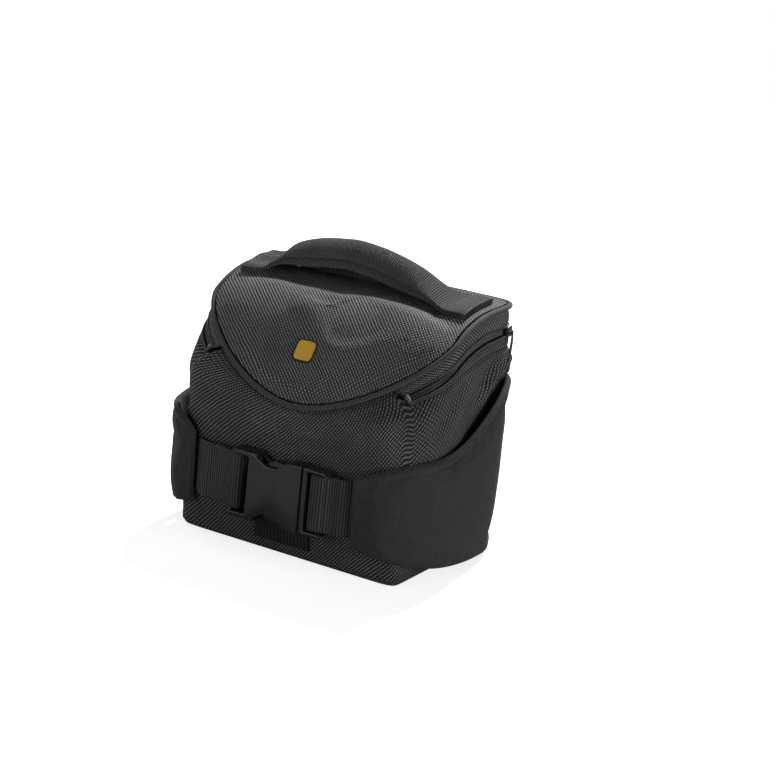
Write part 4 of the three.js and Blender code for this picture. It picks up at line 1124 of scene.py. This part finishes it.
def make_wing(side):
    at = wing_sheet(side)
    columns, ups = 300, 96
    along = np.linspace(0, 1, columns)[:, None]
    face = np.linspace(0, 1, ups)
    base = at(along, face[None, :] + 0 * along, np.zeros((columns, ups)))
    tall = np.linalg.norm(np.diff(base, axis=1), axis=-1).sum(axis=1)
    run = run_along(base[:, ups // 2])
    low, high = face[None, :] * tall[:, None], (1 - face)[None, :] * tall[:, None]
    to_end = (run[-1] - run)[:, None] + 0 * low
    edge = np.minimum(np.minimum(low, high), to_end)
    roll = ease(edge, 0, 2.6)
    # The rolled hem runs along the top edge and fades towards the straps
    near_end = ease(to_end, 4, 40) * ease(low, 2, 8)
    groove = 1.1 * bump(high, WING_HEM, 2.2) * near_end
    welt = 0.7 * bump(high, 0.45 * WING_HEM, 0.9 * WING_HEM) * near_end
    pad = 0.6 * ease(edge, 2, 20)
    u = np.broadcast_to(run[:, None], edge.shape)
    seed = 41 if side == "right" else 43
    waves = 0.9 * soft_noise(u, low + 90, 42, seed) + 0.3 * soft_noise(u, low + 90, 17, 44)
    if side == "right":
        # A soft dent beside the strap, and a swell behind it
        waves = waves - 1.3 * bump(to_end, 8, 10) * bump(low, 26, 60) + 0.8 * bump(to_end, 22, 24)
    free = ease(edge, 3, 18) * ease(run, 0, 12)[:, None]
    depth = WING_THICK * mix(0.5, 1.0, roll) - groove + welt + pad + waves * free
    outer = along_smoothed(at(along, np.broadcast_to(face, edge.shape), depth), run, 6.0)
    firm = 1 - ease(edge, 1.5, 9) * ease(run, 0, 6)[:, None]
    outer = outer + settled(outer, firm, "wing")
    # The hidden inner face has a third of the points
    inner_up = np.broadcast_to(face[::-3], (columns, len(face[::-3])))
    inner_depth = (WING_THICK * 0.42 * (1 - roll))[:, ::-3]
    inner = along_smoothed(at(along, inner_up, inner_depth), run, 6.0)
    points = np.concatenate([outer, inner], axis=1)
    girth = np.concatenate([low, tall[:, None] + low[:, ::-3], tall[:, None] + low[:, :1]], axis=1)
    cloth = np.stack([np.broadcast_to(run[:, None], girth.shape), girth], axis=-1)
    wing = woven_grid(f"belt_wing_{side}", points, cloth, loop_columns=True, caps=True)
    finish_piece(wing, WING_CLOTH, "smooth_cloth", f"wing_{side}")
    seam = [(k, (1 - WING_HEM / tall[k]) * (ups - 1)) for k in range(0, columns - 30, 2)]
    sew(f"belt_wing_stitches_{side}", [walk(outer, seam)], 2.4, 0.24)


# Webbing
def belt_planes():
    loop_gap = 1.5 * CLEARANCE
    loop_face = float(front_face(0.0, LOOP_TOP)) - loop_gap - WEBBING_THICK
    back = loop_face - CLEARANCE
    bar = back - WEBBING_THICK - 3 * CLEARANCE - BAR_THICK / 2
    return loop_gap, back, bar


LOOP_GAP, BELT_BACK, BAR_Y = belt_planes()
BELT_MIDDLE = BELT_BACK - WEBBING_THICK / 2
SOCKET_FRONT = BELT_BACK - SOCKET_THICK
SOCKET_END = SOCKET_START + SOCKET_LENGTH
PLUG_START = SOCKET_END + CLEARANCE
PLUG_END = PLUG_START + PLUG_LENGTH
BARS = {"left": SOCKET_START + BAR_WIDTH / 2, "right": PLUG_START + RAIL + PLUG_BAR_SETBACK + BAR_WIDTH / 2}


def strap_path(side, reach):
    bar_x, way = BARS[side], 1 if side == "right" else -1
    bend = 2 * CLEARANCE + WEBBING_THICK / 2
    diagonal = math.sqrt(0.5) * bend
    bar_front, bar_back = BAR_Y - BAR_THICK / 2, BAR_Y + BAR_THICK / 2
    layer = BELT_MIDDLE - WEBBING_THICK - CLEARANCE
    start = reach - 3 * CLEARANCE
    half = BAR_WIDTH / 2
    at = lambda offset: bar_x + way * offset
    to_wing = lambda share: mix(bar_x, way * start, share)
    return np.array([
        (way * start, belt_face(start) - CLEARANCE - WEBBING_THICK / 2),
        (to_wing(0.75), layer),
        (to_wing(0.5), layer - CLEARANCE),
        (at(half + 1.4 * WEBBING_THICK), bar_front - bend + WEBBING_THICK / 2),
        (at(half), bar_front - bend),
        (at(-half), bar_front - bend),
        (at(-half - diagonal), bar_front - diagonal),
        (at(-half - bend), bar_front),
        (at(-half - bend), bar_back),
        (at(-half - diagonal), BELT_MIDDLE - bend + diagonal),
        (at(-half), BELT_MIDDLE),
        (to_wing(0.3), BELT_MIDDLE),
        (to_wing(0.55), BELT_MIDDLE),
    ])


def centripetal(points, per_span):
    """A centripetal Catmull-Rom curve through points"""
    points = np.vstack([2 * points[0] - points[1], points, 2 * points[-1] - points[-2]])
    curve = []
    for p0, p1, p2, p3 in zip(points, points[1:], points[2:], points[3:]):
        t0 = 0.0
        t1 = t0 + np.linalg.norm(p1 - p0) ** 0.5
        t2 = t1 + np.linalg.norm(p2 - p1) ** 0.5
        t3 = t2 + np.linalg.norm(p3 - p2) ** 0.5
        t = np.linspace(t1, t2, per_span, endpoint=False)[:, None]
        a1 = (t1 - t) / (t1 - t0) * p0 + (t - t0) / (t1 - t0) * p1
        a2 = (t2 - t) / (t2 - t1) * p1 + (t - t1) / (t2 - t1) * p2
        a3 = (t3 - t) / (t3 - t2) * p2 + (t - t2) / (t3 - t2) * p3
        b1 = (t2 - t) / (t2 - t0) * a1 + (t - t0) / (t2 - t0) * a2
        b2 = (t3 - t) / (t3 - t1) * a2 + (t - t1) / (t3 - t1) * a3
        curve.append((t2 - t) / (t2 - t1) * b1 + (t - t1) / (t2 - t1) * b2)
    return np.vstack(curve + [points[-2:-1]])


def webbing_girth(share):
    """Cloth coordinates round a band of webbing: over its face, back under it, and on to where it closes"""
    return np.r_[share * 0.5, 1.5 + share * 0.5, 2.5] * WEBBING_WIDTH


def make_strap(side):
    """Ribbed webbing with rounded selvedges, doubled round the buckle's bar"""
    path = evenly(centripetal(strap_path(side, WING_REACH[side]), 24), 420)
    middle = np.column_stack([path, np.full(len(path), BELT_Z)])
    along = unit(np.gradient(middle, axis=0))
    up = np.broadcast_to(np.array([0.0, 0.0, 1.0]), along.shape)
    out = unit(np.cross(along, up))
    if out[10, 1] > 0:
        out = -out
    run = run_along(middle)
    ribs = np.abs(np.sin(math.pi * run / STRAP_RIB)) ** 0.8
    share = np.linspace(-1, 1, 25)
    depth = np.maximum((1 - np.abs(share) ** 14) ** 0.5, 0.25)
    relief = 0.22 * (ribs[:, None] - 1) * (np.abs(share) < 0.93)[None, :]
    place = middle[:, None] + up[:, None] * (share * WEBBING_WIDTH / 2)[None, :, None]
    stand = out[:, None] * (WEBBING_THICK / 2 * depth[None, :] + relief)[..., None]
    points = np.concatenate([place + stand, (place - stand)[:, ::-1]], axis=1)
    cloth = lengths_of_cloth(run, webbing_girth(share))
    strap = woven_grid(f"belt_strap_{side}", points, cloth, loop_columns=True, caps=True)
    finish_piece(strap, STRAP_CLOTH, "webbing", f"strap_{side}")
    if side == "right":
        # Two zigzag rows of pale thread beside the wing
        rows = []
        for back in (17.0, 20.5):
            column = float(np.interp(back, run, np.arange(len(run))))
            zigzag = [(column + 5 * (k % 2), 1 + 22 * k / 34) for k in range(35)]
            rows.append(walk(place + stand, zigzag))
        sew("belt_strap_stitches", rows, None, 0.26, PALE_THREAD)


def make_front_loop():
    """Coarse webbing patch whose cords run up the front panel"""
    columns, rows = 220, 60
    x = np.linspace(-LOOP_WIDTH / 2, LOOP_WIDTH / 2, columns)
    z = np.linspace(LOOP_BOTTOM, LOOP_TOP, rows)
    inner = np.minimum(front_face(0 * z, z), front_face(0 * z + LOOP_WIDTH / 2, z)) - LOOP_GAP
    relief = 0.35 * (np.abs(np.sin(math.pi * (x + 0.65) / LOOP_RIB)) ** 0.8 - 1)
    edge = ease(np.minimum(z - LOOP_BOTTOM, LOOP_TOP - z), 0, 1.2)
    front = np.empty((rows, columns, 3))
    front[..., 0], front[..., 2] = x[None, :], z[:, None]
    front[..., 1] = inner[:, None] - WEBBING_THICK * mix(0.5, 1, edge)[:, None] - relief[None, :]
    rear = front.copy()
    rear[..., 1] = inner[:, None]
    points = np.concatenate([front, rear[:, ::-1]], axis=1)
    cloth = lengths_of_cloth(z, np.r_[x, 1.5 * LOOP_WIDTH + x, 2.5 * LOOP_WIDTH])[..., ::-1]
    patch = woven_grid("front_patch", points, cloth, loop_columns=True, caps=True)
    return finish_piece(patch, LOOP_CLOTH, "webbing", "front_loop")


# Grip
HANDLE_COUNT, HANDLE_LINES = 720, 41
HANDLE_ROWS = (  # along, ahead, lie, lift, wide, fold
    (-1, 8, 1, 0, 1, 0),
    (-0.9, 8, 1, 0, 1, 0),
    (-0.82, 7.5, 0.85, 0.06, 0.95, 0.05),
    (-0.76, 5, 0.4, 0.3, 0.84, 0.25),
    (-0.68, 2, 0.05, 0.52, 0.74, 0.6),
    (-0.56, 0.5, 0, 0.7, 0.71, 0.85),
    (-0.42, 0, 0, 0.85, 0.7, 1),
    (-0.25, 0, 0, 0.98, 0.7, 1),
    (-0.1, 0, 0, 1.03, 0.7, 1),
    (0.12, 0, 0, 0.92, 0.7, 1),
    (0.33, 0, 0, 0.7, 0.72, 0.95),
    (0.51, 0, 0.03, 0.45, 0.8, 0.7),
    (0.66, 0.5, 0.3, 0.22, 0.95, 0.3),
    (0.78, 2.5, 0.8, 0.1, 1, 0.08),
    (0.88, 4, 1, 0, 1, 0),
    (1, 5, 1, 0, 1, 0),
)


def make_handle():
    smooth = through(np.array(HANDLE_ROWS), 1400)
    along = np.linspace(-1, 1, HANDLE_COUNT)
    ahead, lie, lift, wide, fold = (np.interp(along, smooth[:, 0], smooth[:, k]) for k in range(1, 6))
    lie, fold = np.clip(lie, 0, 1), np.clip(fold, 0, 1)
    x = along * HANDLE_LENGTH / 2
    foot = float(lid_height(np.array(0.0), np.array(float(HANDLE_Y)))) + LID_THICK / 2
    run = np.r_[0, np.cumsum(np.hypot(np.diff(x), np.diff(foot + lift * HANDLE_RISE)))]
    ribs = 0.32 * (np.abs(np.sin(math.pi * run / HANDLE_RIB)) ** 0.8 - 1)
    crumple = bump(along, -0.88, 0.24)[:, None]
    share = np.linspace(-1, 1, HANDLE_LINES)
    cloth = lengths_of_cloth(run, webbing_girth(share))

    def layer(name, rest, level, hang_front, hang_back, power):
        """One thickness of the folded webbing. rest and level: how high it is over the lid and over the
        grip's underside. The edges hang below its middle by hang_front and hang_back."""
        y = HANDLE_Y - ahead[:, None] + share[None, :] * (wide * WEBBING_WIDTH / 2)[:, None]
        on_lid = lid_top(x[:, None] + 0 * y, y) + 2 * CLEARANCE + rest
        free = (foot + lift * HANDLE_RISE + fold * level)[:, None] + 0 * y
        hang = fold[:, None] ** 0.7 * np.where(share < 0, hang_front, hang_back) * np.abs(share) ** power
        lowest = on_lid - LID_GIVE
        middle = mix(np.maximum(free - hang, lowest), on_lid, lie[:, None]) + WEBBING_THICK / 2
        middle = middle + crumple * (0.3 + 0.9 * np.sin(6.5 * share + 0.4))[None, :]
        round_edge = np.maximum((1 - np.abs(share) ** 16) ** 0.5, 0.3)[None, :]
        upper = middle + WEBBING_THICK / 2 * round_edge + ribs[:, None]
        lower = np.maximum(middle - WEBBING_THICK / 2 * round_edge, lowest - 0.5 * CLEARANCE)
        across = np.broadcast_to(x[:, None], y.shape)
        over, under = (np.stack([across, y, z], axis=-1) for z in (upper, lower))
        points = np.concatenate([over, under[:, ::-1]], axis=1)
        webbing = woven_grid(name, points, cloth, loop_columns=True, caps=True)
        finish_piece(webbing, HANDLE_CLOTH, "webbing", "handle")
        return over

    layer("webbing_grip_inner", 0.0, 1.6, 15.0, 27.0, 2.6)
    over = layer("webbing_grip", WEBBING_THICK + 0.1, 4.2, 11.6, 15.0, 1.9)
    lines = []
    # A sewn box with one diagonal at each end
    last_row, last_line = HANDLE_COUNT - 1, HANDLE_LINES - 1
    for start, end, reach in ((-0.985, -0.87, 0.8), (0.84, 0.985, 0.86)):
        box = [(start, -reach), (end, -reach), (end, reach), (start, reach), (start, -reach), (end, reach)]
        stops = [(last_row * (a + 1) / 2, last_line * (s + 1) / 2) for a, s in box]
        lines.append(walk(over, stops, 40))
    sew("grip_stitches", lines)


# Hard pieces
def moulding(name, outlines, low, high, round_edge, stand=None):
    """A plate between two depths, cut from an outline with holes, its edges rounded. The outline lies in x
    and z and the depth is y, unless stand gives another place."""
    curve = bpy.data.curves.new(name, "CURVE")
    curve.dimensions = "2D"
    curve.fill_mode = "BOTH"
    for outline in outlines:
        spline = curve.splines.new("POLY")
        spline.points.add(len(outline) - 1)
        for point, (x, z) in zip(spline.points, outline):
            point.co = (x * MM, z * MM, 0, 1)
        spline.use_cyclic_u = True
    curve.extrude = max((high - low) / 2 - round_edge, 0) * MM
    curve.bevel_depth = round_edge * MM
    curve.bevel_resolution = 4
    curve.offset = -round_edge * MM
    holder = bpy.data.objects.new(name, curve)
    bpy.context.scene.collection.objects.link(holder)
    mesh = bpy.data.meshes.new_from_object(holder.evaluated_get(bpy.context.evaluated_depsgraph_get()))
    bpy.data.objects.remove(holder)
    if stand is None:
        upright = Matrix.Translation(Vector(SHIFT) + Vector((0, (low + high) / 2 * MM, 0)))
        stand = upright @ Matrix.Rotation(math.pi / 2, 4, "X")
    mesh.transform(stand)
    work = bmesh.new()
    work.from_mesh(mesh)
    bmesh.ops.remove_doubles(work, verts=work.verts, dist=0.004 * MM)
    bmesh.ops.recalc_face_normals(work, faces=work.faces)
    work.to_mesh(mesh)
    work.free()
    mesh.name = name
    piece = bpy.data.objects.new(name, mesh)
    bpy.context.scene.collection.objects.link(piece)
    return piece


def join(name, pieces):
    """One object from several"""
    work = bmesh.new()
    for piece in pieces:
        work.from_mesh(piece.data)
        bpy.data.objects.remove(piece)
    mesh = bpy.data.meshes.new(name)
    work.to_mesh(mesh)
    work.free()
    joined = bpy.data.objects.new(name, mesh)
    bpy.context.scene.collection.objects.link(joined)
    return joined


def shade(piece, angle=35):
    """Smooth shading that keeps edges sharper than the angle"""
    mesh = piece.data
    mesh.polygons.foreach_set("use_smooth", [True] * len(mesh.polygons))
    mesh.set_sharp_from_angle(angle=math.radians(angle))
    return piece


def rounded(points, radius, steps=6):
    """A closed outline with its corners rounded"""
    points = [np.array(p, float) for p in points]
    outline = []
    for before, here, after in zip([points[-1]] + points[:-1], points, points[1:] + points[:1]):
        back, ahead = before - here, after - here
        reach = min(radius, 0.49 * np.linalg.norm(back), 0.49 * np.linalg.norm(ahead))
        start, end = here + unit(back) * reach, here + unit(ahead) * reach
        for t in np.linspace(0, 1, steps):
            outline.append((1 - t) ** 2 * start + 2 * t * (1 - t) * here + t**2 * end)
    return outline


def box_outline(x0, x1, z0, z1, radius):
    return rounded([(x0, z0), (x1, z0), (x1, z1), (x0, z1)], radius)


# Outlines as shares along the socket and of the buckle's half height
SOCKET_OUTLINE = ((0, 0.92), (0.04, 1), (0.28, 1), (0.5, 0.72), (0.66, 0.72), (0.8, 0.98), (1, 1))
PRONG = ((0, 0.44), (0.55, 0.42), (1, 0.46), (0.97, 0.7), (0.72, 0.9), (0.45, 0.86), (0.36, 0.64), (0, 0.64))


def make_buckle():
    # The socket is two skins with rails and lips between them, and a bar across its open end
    half = BUCKLE_HEIGHT / 2
    slot_end = SOCKET_START + 0.24 * SOCKET_LENGTH
    gap = half - RAIL
    edge = [(SOCKET_START + a * SOCKET_LENGTH, t * half) for a, t in SOCKET_OUTLINE]
    fork = [(x, -z) for x, z in edge] + edge[::-1]
    fork += [(SOCKET_START, gap), (slot_end, gap), (slot_end, -gap), (SOCKET_START, -gap)]
    outline = rounded([(x, BELT_Z + z) for x, z in fork], 1.5)
    wall = 2.6
    skins = [
        moulding("socket_front", [outline], SOCKET_FRONT, SOCKET_FRONT + wall, 1.1),
        moulding("socket_back", [outline], BELT_BACK - wall, BELT_BACK, 0.9),
    ]
    for side in (-1, 1):
        rail = box_outline(SOCKET_START, SOCKET_START + 0.36 * SOCKET_LENGTH,
                           *sorted((BELT_Z + side * half, BELT_Z + side * gap)), 0.8)
        skins.append(moulding("socket_rail", [rail], SOCKET_FRONT + 0.2, BELT_BACK - 0.2, 0.9))
        lip = box_outline(SOCKET_START + 0.8 * SOCKET_LENGTH, SOCKET_END - 0.2,
                          *sorted((BELT_Z + side * half * 0.98, BELT_Z + side * half * 0.7)), 0.8)
        skins.append(moulding("socket_lip", [lip], SOCKET_FRONT + 0.2, BELT_BACK - 0.2, 0.6))
    bar = box_outline(SOCKET_START, SOCKET_START + BAR_WIDTH, BELT_Z - half + 1, BELT_Z + half - 1, 0.8)
    skins.append(moulding("socket_bar", [bar], BAR_Y - BAR_THICK / 2, BAR_Y + BAR_THICK / 2, 0.9))
    socket = shade(join("buckle_housing", skins))
    finish_piece(socket, BUCKLE_PLASTIC, "plastic", "buckle_socket")

    # The plug is a little thinner than the socket, and its prongs and tongue go in between the two skins
    room = WEBBING_WIDTH / 2 + 2 * CLEARANCE
    front, back = SOCKET_FRONT + 1.6, BELT_BACK - 1.2
    inner = [SOCKET_FRONT + 2.9, BELT_BACK - 2.9]
    root, stem = PLUG_START + 1, PLUG_START + RAIL
    edge = [(PLUG_START, 0.98 * half), (PLUG_END - 2, 0.96 * half), (PLUG_END, room + 0.4)]
    fork = [(x, -z) for x, z in edge] + [(PLUG_END, -room), (stem, -room), (stem, room), (PLUG_END, room)]
    fork += edge[::-1]
    pieces = [moulding("plug_frame", [rounded([(x, BELT_Z + z) for x, z in fork], 1.2)], front, back, 1.0)]
    tie = box_outline(BARS["right"] - BAR_WIDTH / 2, BARS["right"] + BAR_WIDTH / 2,
                      BELT_Z - half + 1.5, BELT_Z + half - 1.5, 0.8)
    pieces.append(moulding("plug_bar", [tie], BAR_Y - BAR_THICK / 2, BAR_Y + BAR_THICK / 2, 0.9))
    for side in (-1, 1):
        arm = [(root - a * 0.62 * SOCKET_LENGTH, BELT_Z + side * t * half) for a, t in PRONG]
        pieces.append(moulding("plug_arm", [rounded(arm, 1.6)], *inner, 0.7))
    tongue = box_outline(PLUG_START - 0.4 * SOCKET_LENGTH, root, BELT_Z - 3, BELT_Z + 3, 1.0)
    pieces.append(moulding("plug_tongue", [tongue], *inner, 0.7))
    plug = shade(join("buckle_plug_frame", pieces))
    finish_piece(plug, BUCKLE_PLASTIC, "plastic", "buckle_plug")


def make_bracket():
    low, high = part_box("bar_mount")
    back = high.y / MM - SHIFT[1] / MM
    centre_z = (low.z + high.z) / 2 / MM
    base, boss = (
        box_outline(-wide, wide, centre_z - tall, centre_z + tall, corner)
        for wide, tall, corner in (BRACKET_PLATE, BRACKET_BOSS)
    )
    plate_back = BACK_Y + CLEARANCE + BRACKET_THICK
    pieces = [
        moulding("bracket_plate", [base], BACK_Y + CLEARANCE, plate_back, 1.0),
        moulding("bracket_boss", [boss], plate_back - 1.5, back, 1.2),
    ]
    bracket = shade(join("bar_bracket", pieces))
    return finish_piece(bracket, MOUNT_PLASTIC, "plastic", "bar_mount")


def make_badge():
    """A plain rounded patch on the lid's front slope"""
    lines = 28
    a = np.linspace(-1, 1, lines)
    depth = BADGE_HEIGHT * math.cos(math.radians(BADGE_SLOPE))
    s, t = np.meshgrid(a, a)
    # A square grid drawn into a rounded square
    power = 5
    k = np.maximum(np.maximum(np.abs(s), np.abs(t)), 1e-6) / np.maximum(
        (np.abs(s) ** power + np.abs(t) ** power) ** (1 / power), 1e-6)
    x = BADGE_X + s * k * BADGE_WIDTH / 2
    y = NOSE_Y + BADGE_SETBACK + t * k * depth / 2
    edge = np.maximum(np.abs(s), np.abs(t))
    border = 0.35 * ease(edge, 0.8, 0.86) * (1 - ease(edge, 0.97, 1))
    lift = LID_THICK / 2 + CLEARANCE + 0.9 * (1 - edge**10) ** 0.5 + 0.2 + border
    top = lid_at(x, y, lift)
    under = lid_at(x, y, np.full_like(x, LID_THICK / 2 + CLEARANCE))
    points = np.concatenate([top, under[:, ::-1]], axis=1)
    uv = np.stack([s * BADGE_WIDTH / 2, t * BADGE_HEIGHT / 2], axis=-1)
    cloth = np.concatenate([uv, uv[:, ::-1], uv[:, :1]], axis=1)
    badge = woven_grid("lid_badge", points, cloth, loop_columns=True, caps=True)
    return finish_piece(badge, BADGE_CLOTH, "badge", "badge")


for make in (make_body, make_lid, make_piping, make_gusset):
    make()
for make in (make_wing, make_strap):
    for side in ("left", "right"):
        make(side)
for make in (make_front_loop, make_handle, make_buckle, make_bracket, make_badge):
    make()
for number, degrees in enumerate(SLIDER_TURNS, 1):
    make_slider(number, degrees)
make_zip_ends()


# Camera, floor and light
AMBIENT, FLOOR_BOUNCE = 0.05, 0.3
LIGHTS = (  # name, azimuth, elevation, spread, strength
    ("top", 188, 50, 7, 4.9),
    ("front", -12, 9, 45, 0.95),
    ("side", 86, 10, 40, 1.6),
    ("left", -100, 18, 50, 0.55),
)
VIEW_AZIMUTH, VIEW_ELEVATION, VIEW_ROLL = (math.radians(a) for a in (29.22, 15.27, 6.07))
CAMERA_AT = Vector((0.6374, -1.0760, 0.4487))
LENS, SENSOR = 90.46, 36.0


def make_camera():
    back = Vector((
        math.sin(VIEW_AZIMUTH) * math.cos(VIEW_ELEVATION),
        -math.cos(VIEW_AZIMUTH) * math.cos(VIEW_ELEVATION),
        math.sin(VIEW_ELEVATION),
    ))
    level = Vector((math.cos(VIEW_AZIMUTH), math.sin(VIEW_AZIMUTH), 0))
    lift = back.cross(level)
    right = level * math.cos(VIEW_ROLL) + lift * math.sin(VIEW_ROLL)
    up = lift * math.cos(VIEW_ROLL) - level * math.sin(VIEW_ROLL)
    data = bpy.data.cameras.new("camera")
    data.lens, data.sensor_width = LENS, SENSOR
    camera = bpy.data.objects.new("camera", data)
    turn = Matrix((right, up, back)).transposed().to_4x4()
    camera.matrix_world = Matrix.Translation(CAMERA_AT) @ turn
    bpy.context.scene.collection.objects.link(camera)
    bpy.context.scene.camera = camera


def make_light(name, azimuth, elevation, spread, strength):
    data = bpy.data.lights.new(name, "SUN")
    data.angle, data.energy = math.radians(spread), strength
    light = bpy.data.objects.new(name, data)
    a, e = math.radians(azimuth), math.radians(elevation)
    away = Vector((math.sin(a) * math.cos(e), -math.cos(a) * math.cos(e), math.sin(e)))
    light.location = away
    light.rotation_euler = away.to_track_quat("Z", "Y").to_euler()
    bpy.context.scene.collection.objects.link(light)


def make_studio():
    scene = bpy.context.scene
    scene.view_settings.view_transform = "Standard"
    world = bpy.data.worlds.new("studio")
    scene.world = world
    world.use_nodes = True
    net = Net(world.node_tree)
    background = world.node_tree.nodes["Background"]
    seen = net.put("ShaderNodeLightPath", output="Is Camera Ray")
    background.inputs["Color"].default_value = (1, 1, 1, 1)
    net.join(net.range(seen, 0.0, 1.0, AMBIENT, 1.0), background.inputs["Strength"])
    for row in LIGHTS:
        make_light(*row)
    half = 3.0
    mesh = bpy.data.meshes.new("floor")
    corners = [(-half, -half, 0), (half, -half, 0), (half, half, 0), (-half, half, 0)]
    mesh.from_pydata(corners, [], [(0, 1, 2, 3)])
    floor = bpy.data.objects.new("floor", mesh)
    scene.collection.objects.link(floor)
    paper, net, shader, _, place = new_material("floor paper")
    speck = net.group(GRAIN, {"Place": place, "Size": 400.0})
    white = net.blend(speck["Tone"], (0.9, 0.9, 0.9, 1), (0.94, 0.94, 0.94, 1))
    seen = net.put("ShaderNodeLightPath", output="Is Camera Ray")
    net.join(net.blend(seen, grey(FLOOR_BOUNCE), white), shader.inputs["Base Color"])
    net.join(net.times(seen, 0.75), shader.inputs["Emission Strength"])
    shader.inputs["Emission Color"].default_value = (1, 1, 1, 1)
    shader.inputs["Roughness"].default_value = 0.9
    shader.inputs["Specular IOR Level"].default_value = 0.1
    paint(floor, paper)


make_camera()
make_studio()
